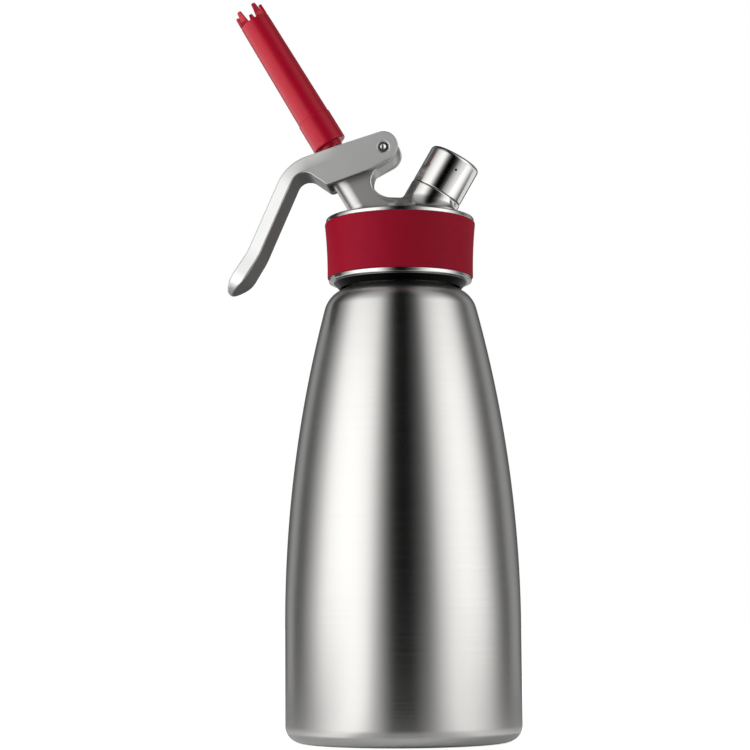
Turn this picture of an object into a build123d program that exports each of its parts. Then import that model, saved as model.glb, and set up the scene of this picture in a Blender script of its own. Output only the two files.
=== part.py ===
from build123d import *
import math
import os

# A cream whipper: a steel pressure bottle with a screwed head. The head carries a tilted valve
# tower with lever and nozzle on one side and a tilted charger stud with its cap on the other.
# Millimetres, +Z up. The origin is the middle of the base, on the bottle's axis. The lever and
# the nozzle point to -X, the charger stud to +X.

# Bottle
BOTTLE_R = 43.5
BOTTLE_WALL = 1.0
BASE_CORNER_R = 6.0
STAND_RING_R = 33.0
BASE_RECESS = 1.5
FLOOR_Z = 2.7
TAPER_START_Z = 43.0
TAPER_END_Z = 160.0
TAPER_ARC_R = 463.8
SHOULDER_R = 10.7
NECK_R = 20.5
NECK_BORE_R = 19.4
THREAD_R = 21.95
THREAD_START_Z = 174.0
RIM_Z = 186.5
HEAD_THREAD_PITCH = 3.0
THREAD_TURNS = 3.0

# Head: skirt, rim, disc and the web between tower and stud
SKIRT_BORE_R = 22.3
SKIRT_R = 24.9
SKIRT_FOOT_Z = 167.8
SKIRT_FOOT_R = 23.0
CONE_R = 25.2
LIP_FOOT_Z = 170.3
LIP_R = 26.9
SLEEVE_FOOT_Z = 171.8
SLEEVE_WAIST_Z = 180.5
SLEEVE_TOP_Z = 192.7
SLEEVE_FOOT_R = 27.4
SLEEVE_WAIST_R = 27.5
SLEEVE_TOP_R = 28.4
RIM_FLANGE_R = 27.9
RIM_BEVEL_Z = 194.2
RIM_BEVEL_R = 26.9
HEAD_TOP_Z = 194.7
DISC_FOOT_Z = 188.0
WEB_TOP_Z = 201.9
WEB_BACK_X = -9.0
WEB_FRONT_X = 6.0
WEB_HOLLOW_R = 7.2

# Valve tower: U runs square to the tilted axis, T runs up along it
VALVE_TILT = 30.5
VALVE_ORIGIN_Z = 179.0
TOWER_R = 5.85
TOWER_FRONT_U = 5.5
TOWER_BACK_U = -7.05
TOWER_FOOT_T = 5.0
TOWER_TOP_T = 38.0
SPRING_BORE_R = 4.55
GLAND_T = 18.0
STEM_BORE_R = 3.05
CHAMBER_R = 4.2
CHAMBER_TOP_T = 12.0
PIVOT_U = 16.48
PIVOT_T = 38.49
ARM_W = 11.6
ARM_FOOT_T = 33.2
ARM_CORNER_R = 5.6
ARM_EYE_R = 5.2
BUSH_R = 2.9
BUSH_L = 12.4

# Valve stem and what it carries
STEM_R = 3.0
STEM_TOP_R = 2.7
STEM_TOP_T = 61.5
STEM_STEP_T = 37.5
STEM_BOLT_R = 2.0
STEM_BOLT_T = 4.95
STEM_FOOT_T = -2.2
STEM_HOLE_R = 1.7
CROSS_HOLE_R = 1.2
CROSS_HOLE_T = 9.4
O_RING_WIRE_R = 0.77
SPRING_SEAT_T = 19.7
SPRING_SEAT_H = 1.0
SPRING_WIRE_R = 0.45
SPRING_R = 3.78
SPRING_TURNS = 6
COLLAR_R = 4.5
COLLAR_FOOT_T = 35.5
COLLAR_DOME_R = 14.0
COLLAR_DOME_T = 30.85
VALVE_SEAL_R = 5.3
VALVE_SEAL_H = 3.0
SEAL_WASHER_R = 4.8
SEAL_WASHER_H = 1.0
NUT_ACROSS_FLATS = 7.0
NUT_H = 2.6

# Lever: its corners in X and Z, each with the radius that rounds it
LEVER_W = 20.0
LEVER_END_R = 5.5
LEVER_END_RISE = 0.5
LEVER_GAP = 13.0
LEVER_SLOPE = 17.7
WEB_UNDERSIDE = 3.0
SLOT_R = 3.3
SLOT_RUN = 1.7
FORK_U = 7.0
CHANNEL_U = -8.6
HANDLE_TIP_R = 9.2
LEVER_EDGE_R = 0.5
PIN_R = 1.75
PIN_HEAD_R = 2.6
LEVER_BEND = (-42.25, 215.6, 17.0)
HANDLE_KNEE = (-56.95, 182.3, 26.0)
HANDLE_SWELL = (-64.1, 171.7, 12.0)
HANDLE_TIP = (-65.9, 167.1, 0.0)
HANDLE_TIP_INNER = (-64.4, 165.95, 0.0)
HANDLE_TOE = (-57.45, 171.2, 12.0)
HANDLE_KNEE_INNER = (-51.85, 180.5, 22.0)
LEVER_CROOK = (-37.2, 214.0, 4.8)
LEVER_HEEL = (-26.6, 206.5, 1.6)
LEVER_BELLY = (-10.6, 212.0, 12.0)
LEVER_CHIN = (-2.75, 216.17, 0.0)

# Nozzle, along the valve axis
NOZZLE_NECK_T = 50.2
NOZZLE_FOOT_T = 51.9
NOZZLE_STEP_T = 64.2
NOZZLE_TIP_T = 114.4
NOZZLE_NECK_R = 4.4
NOZZLE_COLLAR_R = 6.6
NOZZLE_STEP_R = 6.35
NOZZLE_TIP_R = 5.8
NOZZLE_WALL = 1.0
NOZZLE_TEETH = 5
NOZZLE_TOOTH_H = 5.4
NOZZLE_TOOTH_TURN = 34.0
NOZZLE_NOTCH_FOOT = 38.0
NOZZLE_NOTCH_MOUTH = 58.0

# Charger stud, along its own tilted axis
STUD_TILT = 30.0
STUD_ORIGIN_Z = 180.3
STUD_R = 10.1
STUD_SHOULDER_T = 27.7
STUD_THREAD_R = 8.3
STUD_TOP_T = 38.0
SOCKET_R = 4.8
SOCKET_FOOT_T = 24.0
PIN_BUSH_R = 3.5
PIN_BUSH_T = 17.0
GAS_BORE_R = 2.9
GAS_STEM_R = 1.5
GAS_HOLE_R = 0.6
CAP_R = 9.95
CAP_BORE_R = 8.4
CAP_FOOT_T = 27.8
CAP_TOP_T = 43.2
CAP_ROOF = 1.8
CAP_EDGE_R = 1.6
CAP_VENT_R = 0.45
NEEDLE_R = 0.9
NEEDLE_TIP_T = 29.0

# Frames of the two tilted axes
valve_lean = math.radians(VALVE_TILT)
stud_lean = math.radians(STUD_TILT)
VALVE = Plane(
    origin=(0, 0, VALVE_ORIGIN_Z),
    x_dir=(math.cos(valve_lean), 0, math.sin(valve_lean)),
    z_dir=(-math.sin(valve_lean), 0, math.cos(valve_lean)),
)
STUD = Plane(
    origin=(0, 0, STUD_ORIGIN_Z),
    x_dir=(math.cos(stud_lean), 0, -math.sin(stud_lean)),
    z_dir=(math.sin(stud_lean), 0, math.cos(stud_lean)),
)


def valve_xz(u, t):
    """X and Z of a point given across and along the valve axis."""
    x = u * math.cos(valve_lean) - t * math.sin(valve_lean)
    z = VALVE_ORIGIN_Z + u * math.sin(valve_lean) + t * math.cos(valve_lean)
    return x, z


PIVOT_X, PIVOT_Z = valve_xz(PIVOT_U, PIVOT_T)


def turned(*corners):
    """Solid turned about Z from (radius, height) corners."""
    return revolve(Plane.XZ * make_face(Polyline(*corners, close=True)), Axis.Z)


def rod(radius, foot, top):
    """Round rod on the Z axis."""
    return Pos(0, 0, foot) * Cylinder(radius, top - foot, align=(Align.CENTER, Align.CENTER, Align.MIN))


def ring(bore, radius, foot, top):
    """Plain ring on the Z axis."""
    return turned((bore, foot), (radius, foot), (radius, top), (bore, top))


def polar(centre, radius, angle):
    """Point on a circle, with the angle in radians."""
    return centre[0] + radius * math.cos(angle), centre[1] + radius * math.sin(angle)


def arc(centre, radius, start, end):
    """Arc between two angles in radians."""
    middle = (start + end) / 2
    return ThreePointArc(*(polar(centre, radius, angle) for angle in (start, middle, end)))


def rounded_face(corners):
    """Face inside (x, y, radius) corners, each corner rounded by its radius."""
    edges = []
    stops = []
    for index, (x, y, radius) in enumerate(corners):
        here = Vector(x, y)
        back = (Vector(*corners[index - 1][:2]) - here).normalized()
        ahead = (Vector(*corners[(index + 1) % len(corners)][:2]) - here).normalized()
        half = math.radians(back.get_angle(ahead)) / 2
        run = radius / math.tan(half)
        start, end = here + back * run, here + ahead * run
        if radius:
            middle = here + (back + ahead).normalized() * (radius / math.sin(half) - radius)
            edges.append(ThreePointArc(start, middle, end))
        stops.append((start, end))
    for index, (start, _) in enumerate(stops):
        edges.append(Line(stops[index - 1][1], start))
    return make_face(edges)


def bottle_section(inset, floor, neck_r, top):
    """Half section of the bottle, drawn at an inset from its outer surface."""
    wall_r = BOTTLE_R - inset
    corner = (BOTTLE_R - BASE_CORNER_R, BASE_CORNER_R)
    corner_r = BASE_CORNER_R - inset
    lean = math.asin((TAPER_END_Z - TAPER_START_Z) / TAPER_ARC_R)
    taper = (BOTTLE_R - TAPER_ARC_R, TAPER_START_Z)
    shoulder = polar(taper, TAPER_ARC_R - SHOULDER_R, lean)
    shoulder_r = SHOULDER_R - inset
    neck_angle = math.acos((neck_r - shoulder[0]) / shoulder_r)
    floor_angle = math.asin((floor - corner[1]) / corner_r)
    corner_start = polar(corner, corner_r, floor_angle)
    neck_foot = polar(shoulder, shoulder_r, neck_angle)
    return make_face(
        [
            Polyline((neck_foot[0], neck_foot[1]), (neck_r, top), (0, top), (0, floor), corner_start),
            arc(corner, corner_r, floor_angle, 0),
            Line((wall_r, BASE_CORNER_R), (wall_r, TAPER_START_Z)),
            arc(taper, TAPER_ARC_R - inset, 0, lean),
            arc(shoulder, shoulder_r, lean, neck_angle),
        ]
    )


def make_bottle():
    """Deep drawn bottle with a recessed base and a threaded neck."""
    outside = revolve(Plane.XZ * bottle_section(0, 0, NECK_R, RIM_Z), Axis.Z)
    inside = revolve(Plane.XZ * bottle_section(BOTTLE_WALL, FLOOR_Z, NECK_BORE_R, RIM_Z + 1), Axis.Z)
    neck = ring(NECK_R - 0.5, THREAD_R, THREAD_START_Z, RIM_Z)
    recess = turned(
        (0, -1), (STAND_RING_R, -1), (STAND_RING_R, 0), (STAND_RING_R - 1.5, BASE_RECESS), (0, BASE_RECESS)
    )
    return outside + neck - inside - recess


def make_head():
    """Cast head: skirt, disc, valve tower with web and pivot arm, and charger stud."""
    shell = turned(
        (SKIRT_BORE_R, SKIRT_FOOT_Z),
        (SKIRT_FOOT_R, SKIRT_FOOT_Z),
        (CONE_R, LIP_FOOT_Z),
        (LIP_R, LIP_FOOT_Z),
        (LIP_R, SLEEVE_FOOT_Z),
        (SKIRT_R, SLEEVE_FOOT_Z),
        (SKIRT_R, SLEEVE_TOP_Z),
        (RIM_FLANGE_R, SLEEVE_TOP_Z),
        (RIM_FLANGE_R, RIM_BEVEL_Z),
        (RIM_BEVEL_R, HEAD_TOP_Z),
        (0, HEAD_TOP_Z),
        (0, DISC_FOOT_Z),
        (SKIRT_BORE_R, DISC_FOOT_Z),
    )
    stud = STUD * rod(STUD_R, 0, STUD_SHOULDER_T)
    above_disc = Pos(0, 0, DISC_FOOT_Z + 30) * Box(120, 120, 58)
    casting = shell + (stud & above_disc) + make_tower() + make_arm_plate()
    casting = casting + STUD * rod(STUD_THREAD_R, STUD_SHOULDER_T - 1, STUD_TOP_T)
    casting = casting - VALVE * rod(SPRING_BORE_R, GLAND_T, TOWER_TOP_T + 5)
    casting = casting - VALVE * rod(STEM_BORE_R, TOWER_FOOT_T - 1, GLAND_T + 1)
    casting = casting - VALVE * rod(CHAMBER_R, TOWER_FOOT_T - 1, CHAMBER_TOP_T)
    casting = casting - STUD * rod(SOCKET_R, SOCKET_FOOT_T, STUD_TOP_T + 5)
    casting = casting - STUD * rod(PIN_BUSH_R, PIN_BUSH_T, SOCKET_FOOT_T + 1)
    casting = casting - STUD * rod(GAS_BORE_R, 6.5, PIN_BUSH_T + 1)
    eye = Pos(PIVOT_X, 0, PIVOT_Z) * Rot(90, 0, 0) * Cylinder(BUSH_R, LEVER_W)
    return casting - eye


def make_tower():
    """Tower with round back and front, deeper behind its bores than before them."""
    depth = TOWER_FRONT_U - TOWER_BACK_U
    section = Pos(TOWER_BACK_U + depth / 2, 0) * SlotOverall(depth, 2 * TOWER_R)
    return VALVE * Pos(0, 0, TOWER_FOOT_T) * extrude(section, amount=TOWER_TOP_T - TOWER_FOOT_T)


def make_arm_plate():
    """Flat plate through the tower: web across to the stud, with a round hollow above it, and
    the arm to the lever's pivot, above a round crook."""
    foot_z = HEAD_TOP_Z - 2
    hollow_x = (TOWER_FRONT_U - (WEB_TOP_Z - VALVE_ORIGIN_Z) * math.sin(valve_lean)) / math.cos(valve_lean)
    corners = [
        (*valve_xz(0, TOWER_TOP_T), 0),
        (WEB_BACK_X, foot_z, 0),
        (WEB_FRONT_X, foot_z, 0),
        (WEB_FRONT_X, WEB_TOP_Z, 0),
        (hollow_x, WEB_TOP_Z, WEB_HOLLOW_R),
        (*valve_xz(TOWER_FRONT_U, ARM_FOOT_T), ARM_CORNER_R),
        (*valve_xz(PIVOT_U, ARM_FOOT_T), 0),
        (*valve_xz(PIVOT_U, PIVOT_T + 3), 0),
        (*valve_xz(TOWER_FRONT_U - 1, TOWER_TOP_T), 0),
    ]
    outline = rounded_face(corners) + Pos(PIVOT_X, PIVOT_Z) * Circle(ARM_EYE_R)
    return extrude(Plane.XZ * outline, amount=ARM_W / 2, both=True)


def make_lever():
    """Lever with two cheeks, a slotted web over the stem, and the handle strip."""
    lean = math.radians(LEVER_SLOPE)
    end_z = PIVOT_Z + LEVER_END_RISE
    brow = (PIVOT_X - LEVER_END_R * math.sin(lean), end_z + LEVER_END_R * math.cos(lean), 0.0)
    outline = rounded_face(
        [
            brow,
            LEVER_BEND,
            HANDLE_KNEE,
            HANDLE_SWELL,
            HANDLE_TIP,
            HANDLE_TIP_INNER,
            HANDLE_TOE,
            HANDLE_KNEE_INNER,
            LEVER_CROOK,
            LEVER_HEEL,
            LEVER_BELLY,
            LEVER_CHIN,
        ]
    )
    outline = outline + Pos(PIVOT_X, end_z) * Circle(LEVER_END_R)
    lever = extrude(Plane.XZ * outline, amount=LEVER_W / 2, both=True) & round_ended_band()
    sides = lever.faces().filter_by(Axis.Y)
    lever = fillet(sides.edges(), LEVER_EDGE_R)
    return lever - make_channel() - make_fork() - make_slot() - make_pin_holes()


def round_ended_band():
    """Band as wide as the lever and along the handle, whose round end shapes the handle's tip."""
    length = 300
    down = Vector(HANDLE_TIP[0] - HANDLE_KNEE[0], 0, HANDLE_TIP[1] - HANDLE_KNEE[1])
    along = Plane(origin=(HANDLE_TIP[0], 0, HANDLE_TIP[1]), x_dir=down, z_dir=down.cross(Vector(0, 1, 0)))
    band = Pos(-length / 2, 0) * RectangleRounded(length, LEVER_W, HANDLE_TIP_R)
    return extrude(along * band, amount=length / 2, both=True)


def below_web(level, u_from, u_to):
    """Band across the lever's gap, under a level above the pivot, between two U stops."""
    lean = math.radians(VALVE_TILT - LEVER_SLOPE)

    def web_t(u):
        return PIVOT_T + level / math.cos(lean) + (PIVOT_U - u) * math.tan(lean)

    corners = [(u_from, web_t(u_from)), (u_to, web_t(u_to)), (u_to, 0), (u_from, 0)]
    side = Plane(origin=VALVE.origin, x_dir=VALVE.x_dir, z_dir=(0, -1, 0))
    return extrude(side * make_face(Polyline(*corners, close=True)), amount=LEVER_GAP / 2, both=True)


def make_channel():
    """Room between the cheeks, under the web."""
    return below_web(WEB_UNDERSIDE, CHANNEL_U, 40)


def make_fork():
    """Opening at the pivot end, where the arm stands between the cheeks."""
    return below_web(LEVER_END_R + 20, FORK_U, 40)


def make_slot():
    """Slot in the web, which the stem passes through."""
    run = SlotCenterToCenter(SLOT_RUN, 2 * SLOT_R)
    return VALVE * Pos(SLOT_RUN / 2, 0, PIVOT_T) * extrude(run, amount=20)


def make_pin_holes():
    """Pin hole through both cheeks, countersunk outside."""
    depth = PIN_HEAD_R - PIN_R
    half = LEVER_W / 2
    drill = turned(
        (0, -half - 1),
        (PIN_HEAD_R + 1, -half - 1),
        (PIN_R, -half + depth),
        (PIN_R, half - depth),
        (PIN_HEAD_R + 1, half + 1),
        (0, half + 1),
    )
    return Pos(PIVOT_X, 0, PIVOT_Z) * Rot(90, 0, 0) * drill


def make_pivot_pin():
    """Riveted pin with a shallow dimple in each end."""
    half = LEVER_W / 2 - 0.3
    pin = Cylinder(PIN_R, 2 * half)
    for side in (-1, 1):
        pin = pin - Pos(0, 0, side * (half + 1.2)) * Sphere(1.6)
    return Pos(PIVOT_X, 0, PIVOT_Z) * Rot(90, 0, 0) * pin


def make_valve_stem():
    """Hollow spindle: bolt end for the seal, cross holes for the cream, plain top for the nozzle."""
    stem = rod(STEM_BOLT_R, STEM_FOOT_T, STEM_BOLT_T) + rod(STEM_R, STEM_BOLT_T, STEM_STEP_T)
    stem = stem + rod(STEM_TOP_R, STEM_STEP_T, STEM_TOP_T)
    stem = stem - rod(STEM_HOLE_R, CROSS_HOLE_T - CROSS_HOLE_R - 0.8, STEM_TOP_T + 1)
    for turn in (0, 90):
        drill = Rot(0, 90, turn) * Cylinder(CROSS_HOLE_R, 4 * STEM_R)
        stem = stem - Pos(0, 0, CROSS_HOLE_T) * drill
    return VALVE * stem


def make_thrust_collar():
    """Domed collar that the lever's web pushes, guided in the tower."""
    blank = rod(COLLAR_R, COLLAR_FOOT_T, COLLAR_DOME_T + COLLAR_DOME_R)
    dome = Pos(0, 0, COLLAR_DOME_T) * Sphere(COLLAR_DOME_R)
    collar = (blank & dome) - rod(STEM_R, COLLAR_FOOT_T - 1, STEM_STEP_T)
    return VALVE * (collar - rod(STEM_TOP_R, STEM_STEP_T - 1, COLLAR_DOME_T + COLLAR_DOME_R + 1))


def make_valve_spring():
    """Coil between the spring seat and the thrust collar."""
    foot = SPRING_SEAT_T + SPRING_SEAT_H + SPRING_WIRE_R + 0.05
    top = COLLAR_FOOT_T - SPRING_WIRE_R - 0.05
    pitch = (top - foot) / SPRING_TURNS
    path = Helix(pitch, top - foot, SPRING_R)
    wire = Plane(origin=path @ 0, z_dir=path % 0) * Circle(SPRING_WIRE_R)
    print(f"valve spring, least gap between turns {pitch - 2 * SPRING_WIRE_R:.2f} mm")
    return VALVE * Pos(0, 0, foot) * sweep(wire, path, is_frenet=True)


def make_nozzle():
    """Decorating nozzle: neck, collar, long tapered tube and a crown of pointed teeth."""
    outside = turned(
        (0, NOZZLE_NECK_T),
        (NOZZLE_NECK_R - 0.3, NOZZLE_NECK_T),
        (NOZZLE_NECK_R, NOZZLE_NECK_T + 0.3),
        (NOZZLE_NECK_R, NOZZLE_FOOT_T),
        (NOZZLE_COLLAR_R - 0.4, NOZZLE_FOOT_T),
        (NOZZLE_COLLAR_R, NOZZLE_FOOT_T + 0.4),
        (NOZZLE_COLLAR_R, NOZZLE_STEP_T - 0.4),
        (NOZZLE_COLLAR_R - 0.2, NOZZLE_STEP_T),
        (NOZZLE_STEP_R, NOZZLE_STEP_T),
        (NOZZLE_TIP_R, NOZZLE_TIP_T),
        (0, NOZZLE_TIP_T),
    )
    inside = turned(
        (0, NOZZLE_NECK_T - 1),
        (STEM_TOP_R + 0.05, NOZZLE_NECK_T - 1),
        (STEM_TOP_R + 0.05, STEM_TOP_T + 0.3),
        (STEM_HOLE_R, STEM_TOP_T + 0.3),
        (STEM_HOLE_R, STEM_TOP_T + 3.0),
        (NOZZLE_STEP_R - NOZZLE_WALL - 0.4, STEM_TOP_T + 12.0),
        (NOZZLE_TIP_R - NOZZLE_WALL, NOZZLE_TIP_T + 1),
        (0, NOZZLE_TIP_T + 1),
    )
    nozzle = outside - inside
    foot = NOZZLE_TIP_T - NOZZLE_TOOTH_H
    reach = 2 * NOZZLE_TIP_R
    for tooth in range(NOZZLE_TEETH):
        turn = NOZZLE_TOOTH_TURN - 90 + (tooth + 0.5) * 360 / NOZZLE_TEETH
        nozzle = nozzle - Rot(0, 0, turn) * notch_cutter(foot, reach)
    return VALVE * nozzle


def notch_cutter(foot, reach):
    """Wedge that widens outwards and upwards, which cuts one notch of the crown."""

    def span(angle, level):
        half = math.radians(angle) / 2
        return Plane.XY.offset(level) * make_face(
            Polyline(
                (0, 0),
                (reach * math.cos(half), -reach * math.sin(half)),
                (reach * math.cos(half), reach * math.sin(half)),
                close=True,
            )
        )

    rise = 1.2
    mouth = NOZZLE_NOTCH_MOUTH + (NOZZLE_NOTCH_MOUTH - NOZZLE_NOTCH_FOOT) * rise / NOZZLE_TOOTH_H
    return loft([span(NOZZLE_NOTCH_FOOT, foot), span(mouth, NOZZLE_TIP_T + rise)], ruled=True)


def make_charger_cap():
    """Cap over the charger stud's thread, with a small vent hole on the side."""
    cap = rod(CAP_R, CAP_FOOT_T, CAP_TOP_T)
    cap = fillet(cap.edges().group_by(Axis.Z)[-1], CAP_EDGE_R)
    cap = cap - rod(CAP_BORE_R, CAP_FOOT_T - 1, CAP_TOP_T - CAP_ROOF)
    vent = Pos(0, -CAP_R, CAP_TOP_T - 5.6) * Rot(90, 0, 0) * Cylinder(CAP_VENT_R, 8)
    return STUD * (cap - Rot(0, 0, 21) * vent)


def make_pin_bush():
    """Screwed bush that holds the needle, with a thin gas stem below."""
    bush = rod(PIN_BUSH_R, PIN_BUSH_T, SOCKET_FOOT_T) + rod(GAS_STEM_R, PIN_BUSH_T - 6, PIN_BUSH_T)
    bush = bush - rod(GAS_HOLE_R, PIN_BUSH_T - 4, SOCKET_FOOT_T + 1)
    bush = bush - rod(NEEDLE_R, SOCKET_FOOT_T - 4, SOCKET_FOOT_T + 1)
    outlet = Pos(0, 0, PIN_BUSH_T - 3) * Rot(0, 90, 0) * Cylinder(GAS_HOLE_R, 4 * GAS_STEM_R)
    return STUD * (bush - outlet)


def make_piercing_pin():
    """Hollow needle with a pointed end."""
    needle = turned(
        (0, SOCKET_FOOT_T - 4),
        (NEEDLE_R, SOCKET_FOOT_T - 4),
        (NEEDLE_R, NEEDLE_TIP_T - 1.6),
        (0.45, NEEDLE_TIP_T),
        (0, NEEDLE_TIP_T),
    )
    return STUD * (needle - rod(0.35, SOCKET_FOOT_T - 5, NEEDLE_TIP_T + 1))


def make_stem_o_ring():
    """O-ring in the gland at the foot of the tower's spring bore."""
    middle = (STEM_R + SPRING_BORE_R) / 2
    level = GLAND_T + O_RING_WIRE_R
    return VALVE * Pos(0, 0, level) * Torus(middle, O_RING_WIRE_R)


def make_seal_nut():
    """Hexagon nut on the stem's bolt end."""
    foot = STEM_BOLT_T - VALVE_SEAL_H - SEAL_WASHER_H - NUT_H
    blank = extrude(RegularPolygon(NUT_ACROSS_FLATS / 2, 6, major_radius=False), amount=NUT_H)
    return VALVE * Pos(0, 0, foot) * (blank - rod(STEM_BOLT_R, -1, NUT_H + 1))


def make_grip_sleeve():
    """Silicone ring round the skirt, slightly waisted and wider at the top, with soft edges."""
    foot, top = (SLEEVE_FOOT_R, SLEEVE_FOOT_Z), (SLEEVE_TOP_R, SLEEVE_TOP_Z)
    section = make_face(
        [
            ThreePointArc(foot, (SLEEVE_WAIST_R, SLEEVE_WAIST_Z), top),
            Polyline(top, (SKIRT_R, SLEEVE_TOP_Z), (SKIRT_R, SLEEVE_FOOT_Z), foot),
        ]
    )
    sleeve = revolve(Plane.XZ * section, Axis.Z)
    rims = sleeve.edges().filter_by(GeomType.CIRCLE).filter_by(lambda edge: edge.radius > SKIRT_R + 0.5)
    return fillet(rims, 0.5)


def make_pieces():
    """Every piece by its node name."""
    seal_foot = STEM_BOLT_T - VALVE_SEAL_H
    return {
        "bottle": make_bottle(),
        "head_body": make_head(),
        "grip_sleeve": make_grip_sleeve(),
        "head_gasket": ring(NECK_BORE_R, SKIRT_BORE_R - 0.3, RIM_Z + 0.02, DISC_FOOT_Z - 0.02),
        "lever": make_lever(),
        "pivot_pin": make_pivot_pin(),
        "pivot_bush": Pos(PIVOT_X, 0, PIVOT_Z) * Rot(90, 0, 0) * ring(PIN_R + 0.05, BUSH_R, -BUSH_L / 2, BUSH_L / 2),
        "valve_stem": make_valve_stem(),
        "thrust_collar": make_thrust_collar(),
        "valve_spring": make_valve_spring(),
        "spring_seat": VALVE * ring(STEM_R + 0.1, SPRING_BORE_R, SPRING_SEAT_T, SPRING_SEAT_T + SPRING_SEAT_H),
        "stem_o_ring": make_stem_o_ring(),
        "valve_seal": VALVE * ring(STEM_BOLT_R, VALVE_SEAL_R, seal_foot, STEM_BOLT_T),
        "seal_washer": VALVE * ring(STEM_BOLT_R, SEAL_WASHER_R, seal_foot - SEAL_WASHER_H, seal_foot),
        "seal_nut": make_seal_nut(),
        "nozzle": make_nozzle(),
        "charger_cap": make_charger_cap(),
        "pin_bush": make_pin_bush(),
        "piercing_pin": make_piercing_pin(),
        "charger_seal": STUD * ring(2.0, SOCKET_R, SOCKET_FOOT_T, SOCKET_FOOT_T + 1.8),
        "check_sleeve": STUD * ring(GAS_STEM_R, 2.4, PIN_BUSH_T - 5.5, PIN_BUSH_T - 0.5),
    }


os.makedirs("parts", exist_ok=True)
for name, piece in make_pieces().items():
    export_step(piece, f"parts/{name}.step")
    print(f"{name}: {piece.volume:.1f} mm3, {len(piece.solids())} solid")
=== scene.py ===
import math
from functools import reduce

import bmesh
import bpy
import numpy as np
from mathutils import Matrix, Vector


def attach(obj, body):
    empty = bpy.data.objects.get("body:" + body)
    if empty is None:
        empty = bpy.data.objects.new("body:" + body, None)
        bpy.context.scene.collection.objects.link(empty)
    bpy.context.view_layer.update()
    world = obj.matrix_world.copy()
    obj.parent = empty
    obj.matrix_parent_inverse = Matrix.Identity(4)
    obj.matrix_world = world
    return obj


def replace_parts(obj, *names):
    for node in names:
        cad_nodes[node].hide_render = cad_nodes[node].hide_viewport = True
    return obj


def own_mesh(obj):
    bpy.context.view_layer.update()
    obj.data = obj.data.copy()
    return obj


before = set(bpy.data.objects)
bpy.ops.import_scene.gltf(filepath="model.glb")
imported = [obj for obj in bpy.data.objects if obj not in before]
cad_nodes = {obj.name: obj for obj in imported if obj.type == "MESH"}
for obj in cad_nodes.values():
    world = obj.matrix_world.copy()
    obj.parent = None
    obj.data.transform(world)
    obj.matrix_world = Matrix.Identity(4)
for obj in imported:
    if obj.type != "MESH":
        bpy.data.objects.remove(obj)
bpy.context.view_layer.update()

# A cream whipper: steel bottle, screwed head with red grip sleeve, valve tower with lever and
# decorating nozzle, and charger stud with its cap. Sizes are millimetres, as in the part's source.
MM = 0.001

# Bottle
BOTTLE_R = 43.5
BOTTLE_WALL = 1.0
BASE_CORNER_R = 6.0
STAND_RING_R = 33.0
BASE_RECESS = 1.5
FLOOR_Z = 2.7
TAPER_START_Z = 43.0
TAPER_END_Z = 160.0
TAPER_ARC_R = 463.8
SHOULDER_R = 10.7
NECK_R = 20.5
NECK_BORE_R = 19.4
RIM_Z = 186.5
RIM_EDGE_R = 0.45
RIM_RUN = 4.0
NECK_THREAD_R = 21.95
NECK_THREAD_DEPTH = 1.65
NECK_THREAD_PITCH = 3.0
NECK_THREAD_TURNS = 3.2
NECK_THREAD_FOOT_Z = 175.6

# Head
SKIRT_BORE_R = 22.3
SKIRT_R = 24.9
SKIRT_FOOT_Z = 167.8
SKIRT_FOOT_R = 23.0
CONE_R = 25.2
LIP_FOOT_Z = 170.3
LIP_R = 26.9
SLEEVE_FOOT_Z = 171.8
SLEEVE_WAIST_Z = 180.5
SLEEVE_TOP_Z = 192.7
SLEEVE_FOOT_R = 27.4
SLEEVE_WAIST_R = 27.5
SLEEVE_TOP_R = 28.4
RIM_FLANGE_R = 27.9
RIM_BEVEL_Z = 194.2
RIM_BEVEL_R = 26.9
RIM_BEVEL_EDGE_R = 0.4
HEAD_TOP_Z = 194.7
SKIRT_TOP_Z = 193.2
DISC_R = 24.3
DISC_FOOT_Z = 188.0
DISC_TOP_Z = 194.5
DISC_EDGE_R = 0.2
CASTING_Z = (180.0, 226.5)
WEB_TOP_Z = 202.5
WEB_FRONT_X = 6.0
WEB_HOLLOW_R = 7.2

# Valve tower: U runs square to the tilted axis, T runs up along it
VALVE_TILT = math.radians(30.5)
VALVE_ORIGIN_Z = 179.0
TOWER_R = 5.85
TOWER_FRONT_U = 5.5
TOWER_BACK_U = -7.05
TOWER_FOOT_T = 5.0
TOWER_TOP_T = 38.0
TOWER_EDGE_R = 0.4
SPRING_BORE_R = 4.55
GLAND_T = 18.0
STEM_BORE_R = 3.05
CHAMBER_R = 4.2
CHAMBER_TOP_T = 12.0
PIVOT_U = 16.48
PIVOT_T = 38.49
ARM_FOOT_T = 33.2
ARM_CORNER_R = 5.6
ARM_EYE_R = 5.2
ARM_TOP_RISE = 3.0
ARM_TOP_SINK = 1.0
BUSH_R = 2.9
BORE_EDGE_R = 0.25
BORE_OVERLAP = 1.0
PLATE_EDGE_R = 0.9
PLATE_SINK = 2.0
STUD_BLEND_R = 4.0
STUD_BLEND_TOP_R = 0.8
STUD_BLEND_FADE = 3.0
SADDLE_EDGE_R = 4.0
SADDLE_X = (-9.0, 0.0)
SADDLE_FADE = 7.0
FOOT_BLEND_R = 8.0
FOOT_BLEND_Y = (2.0, 8.0)
RIM_BLEND_R = 0.8

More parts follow.
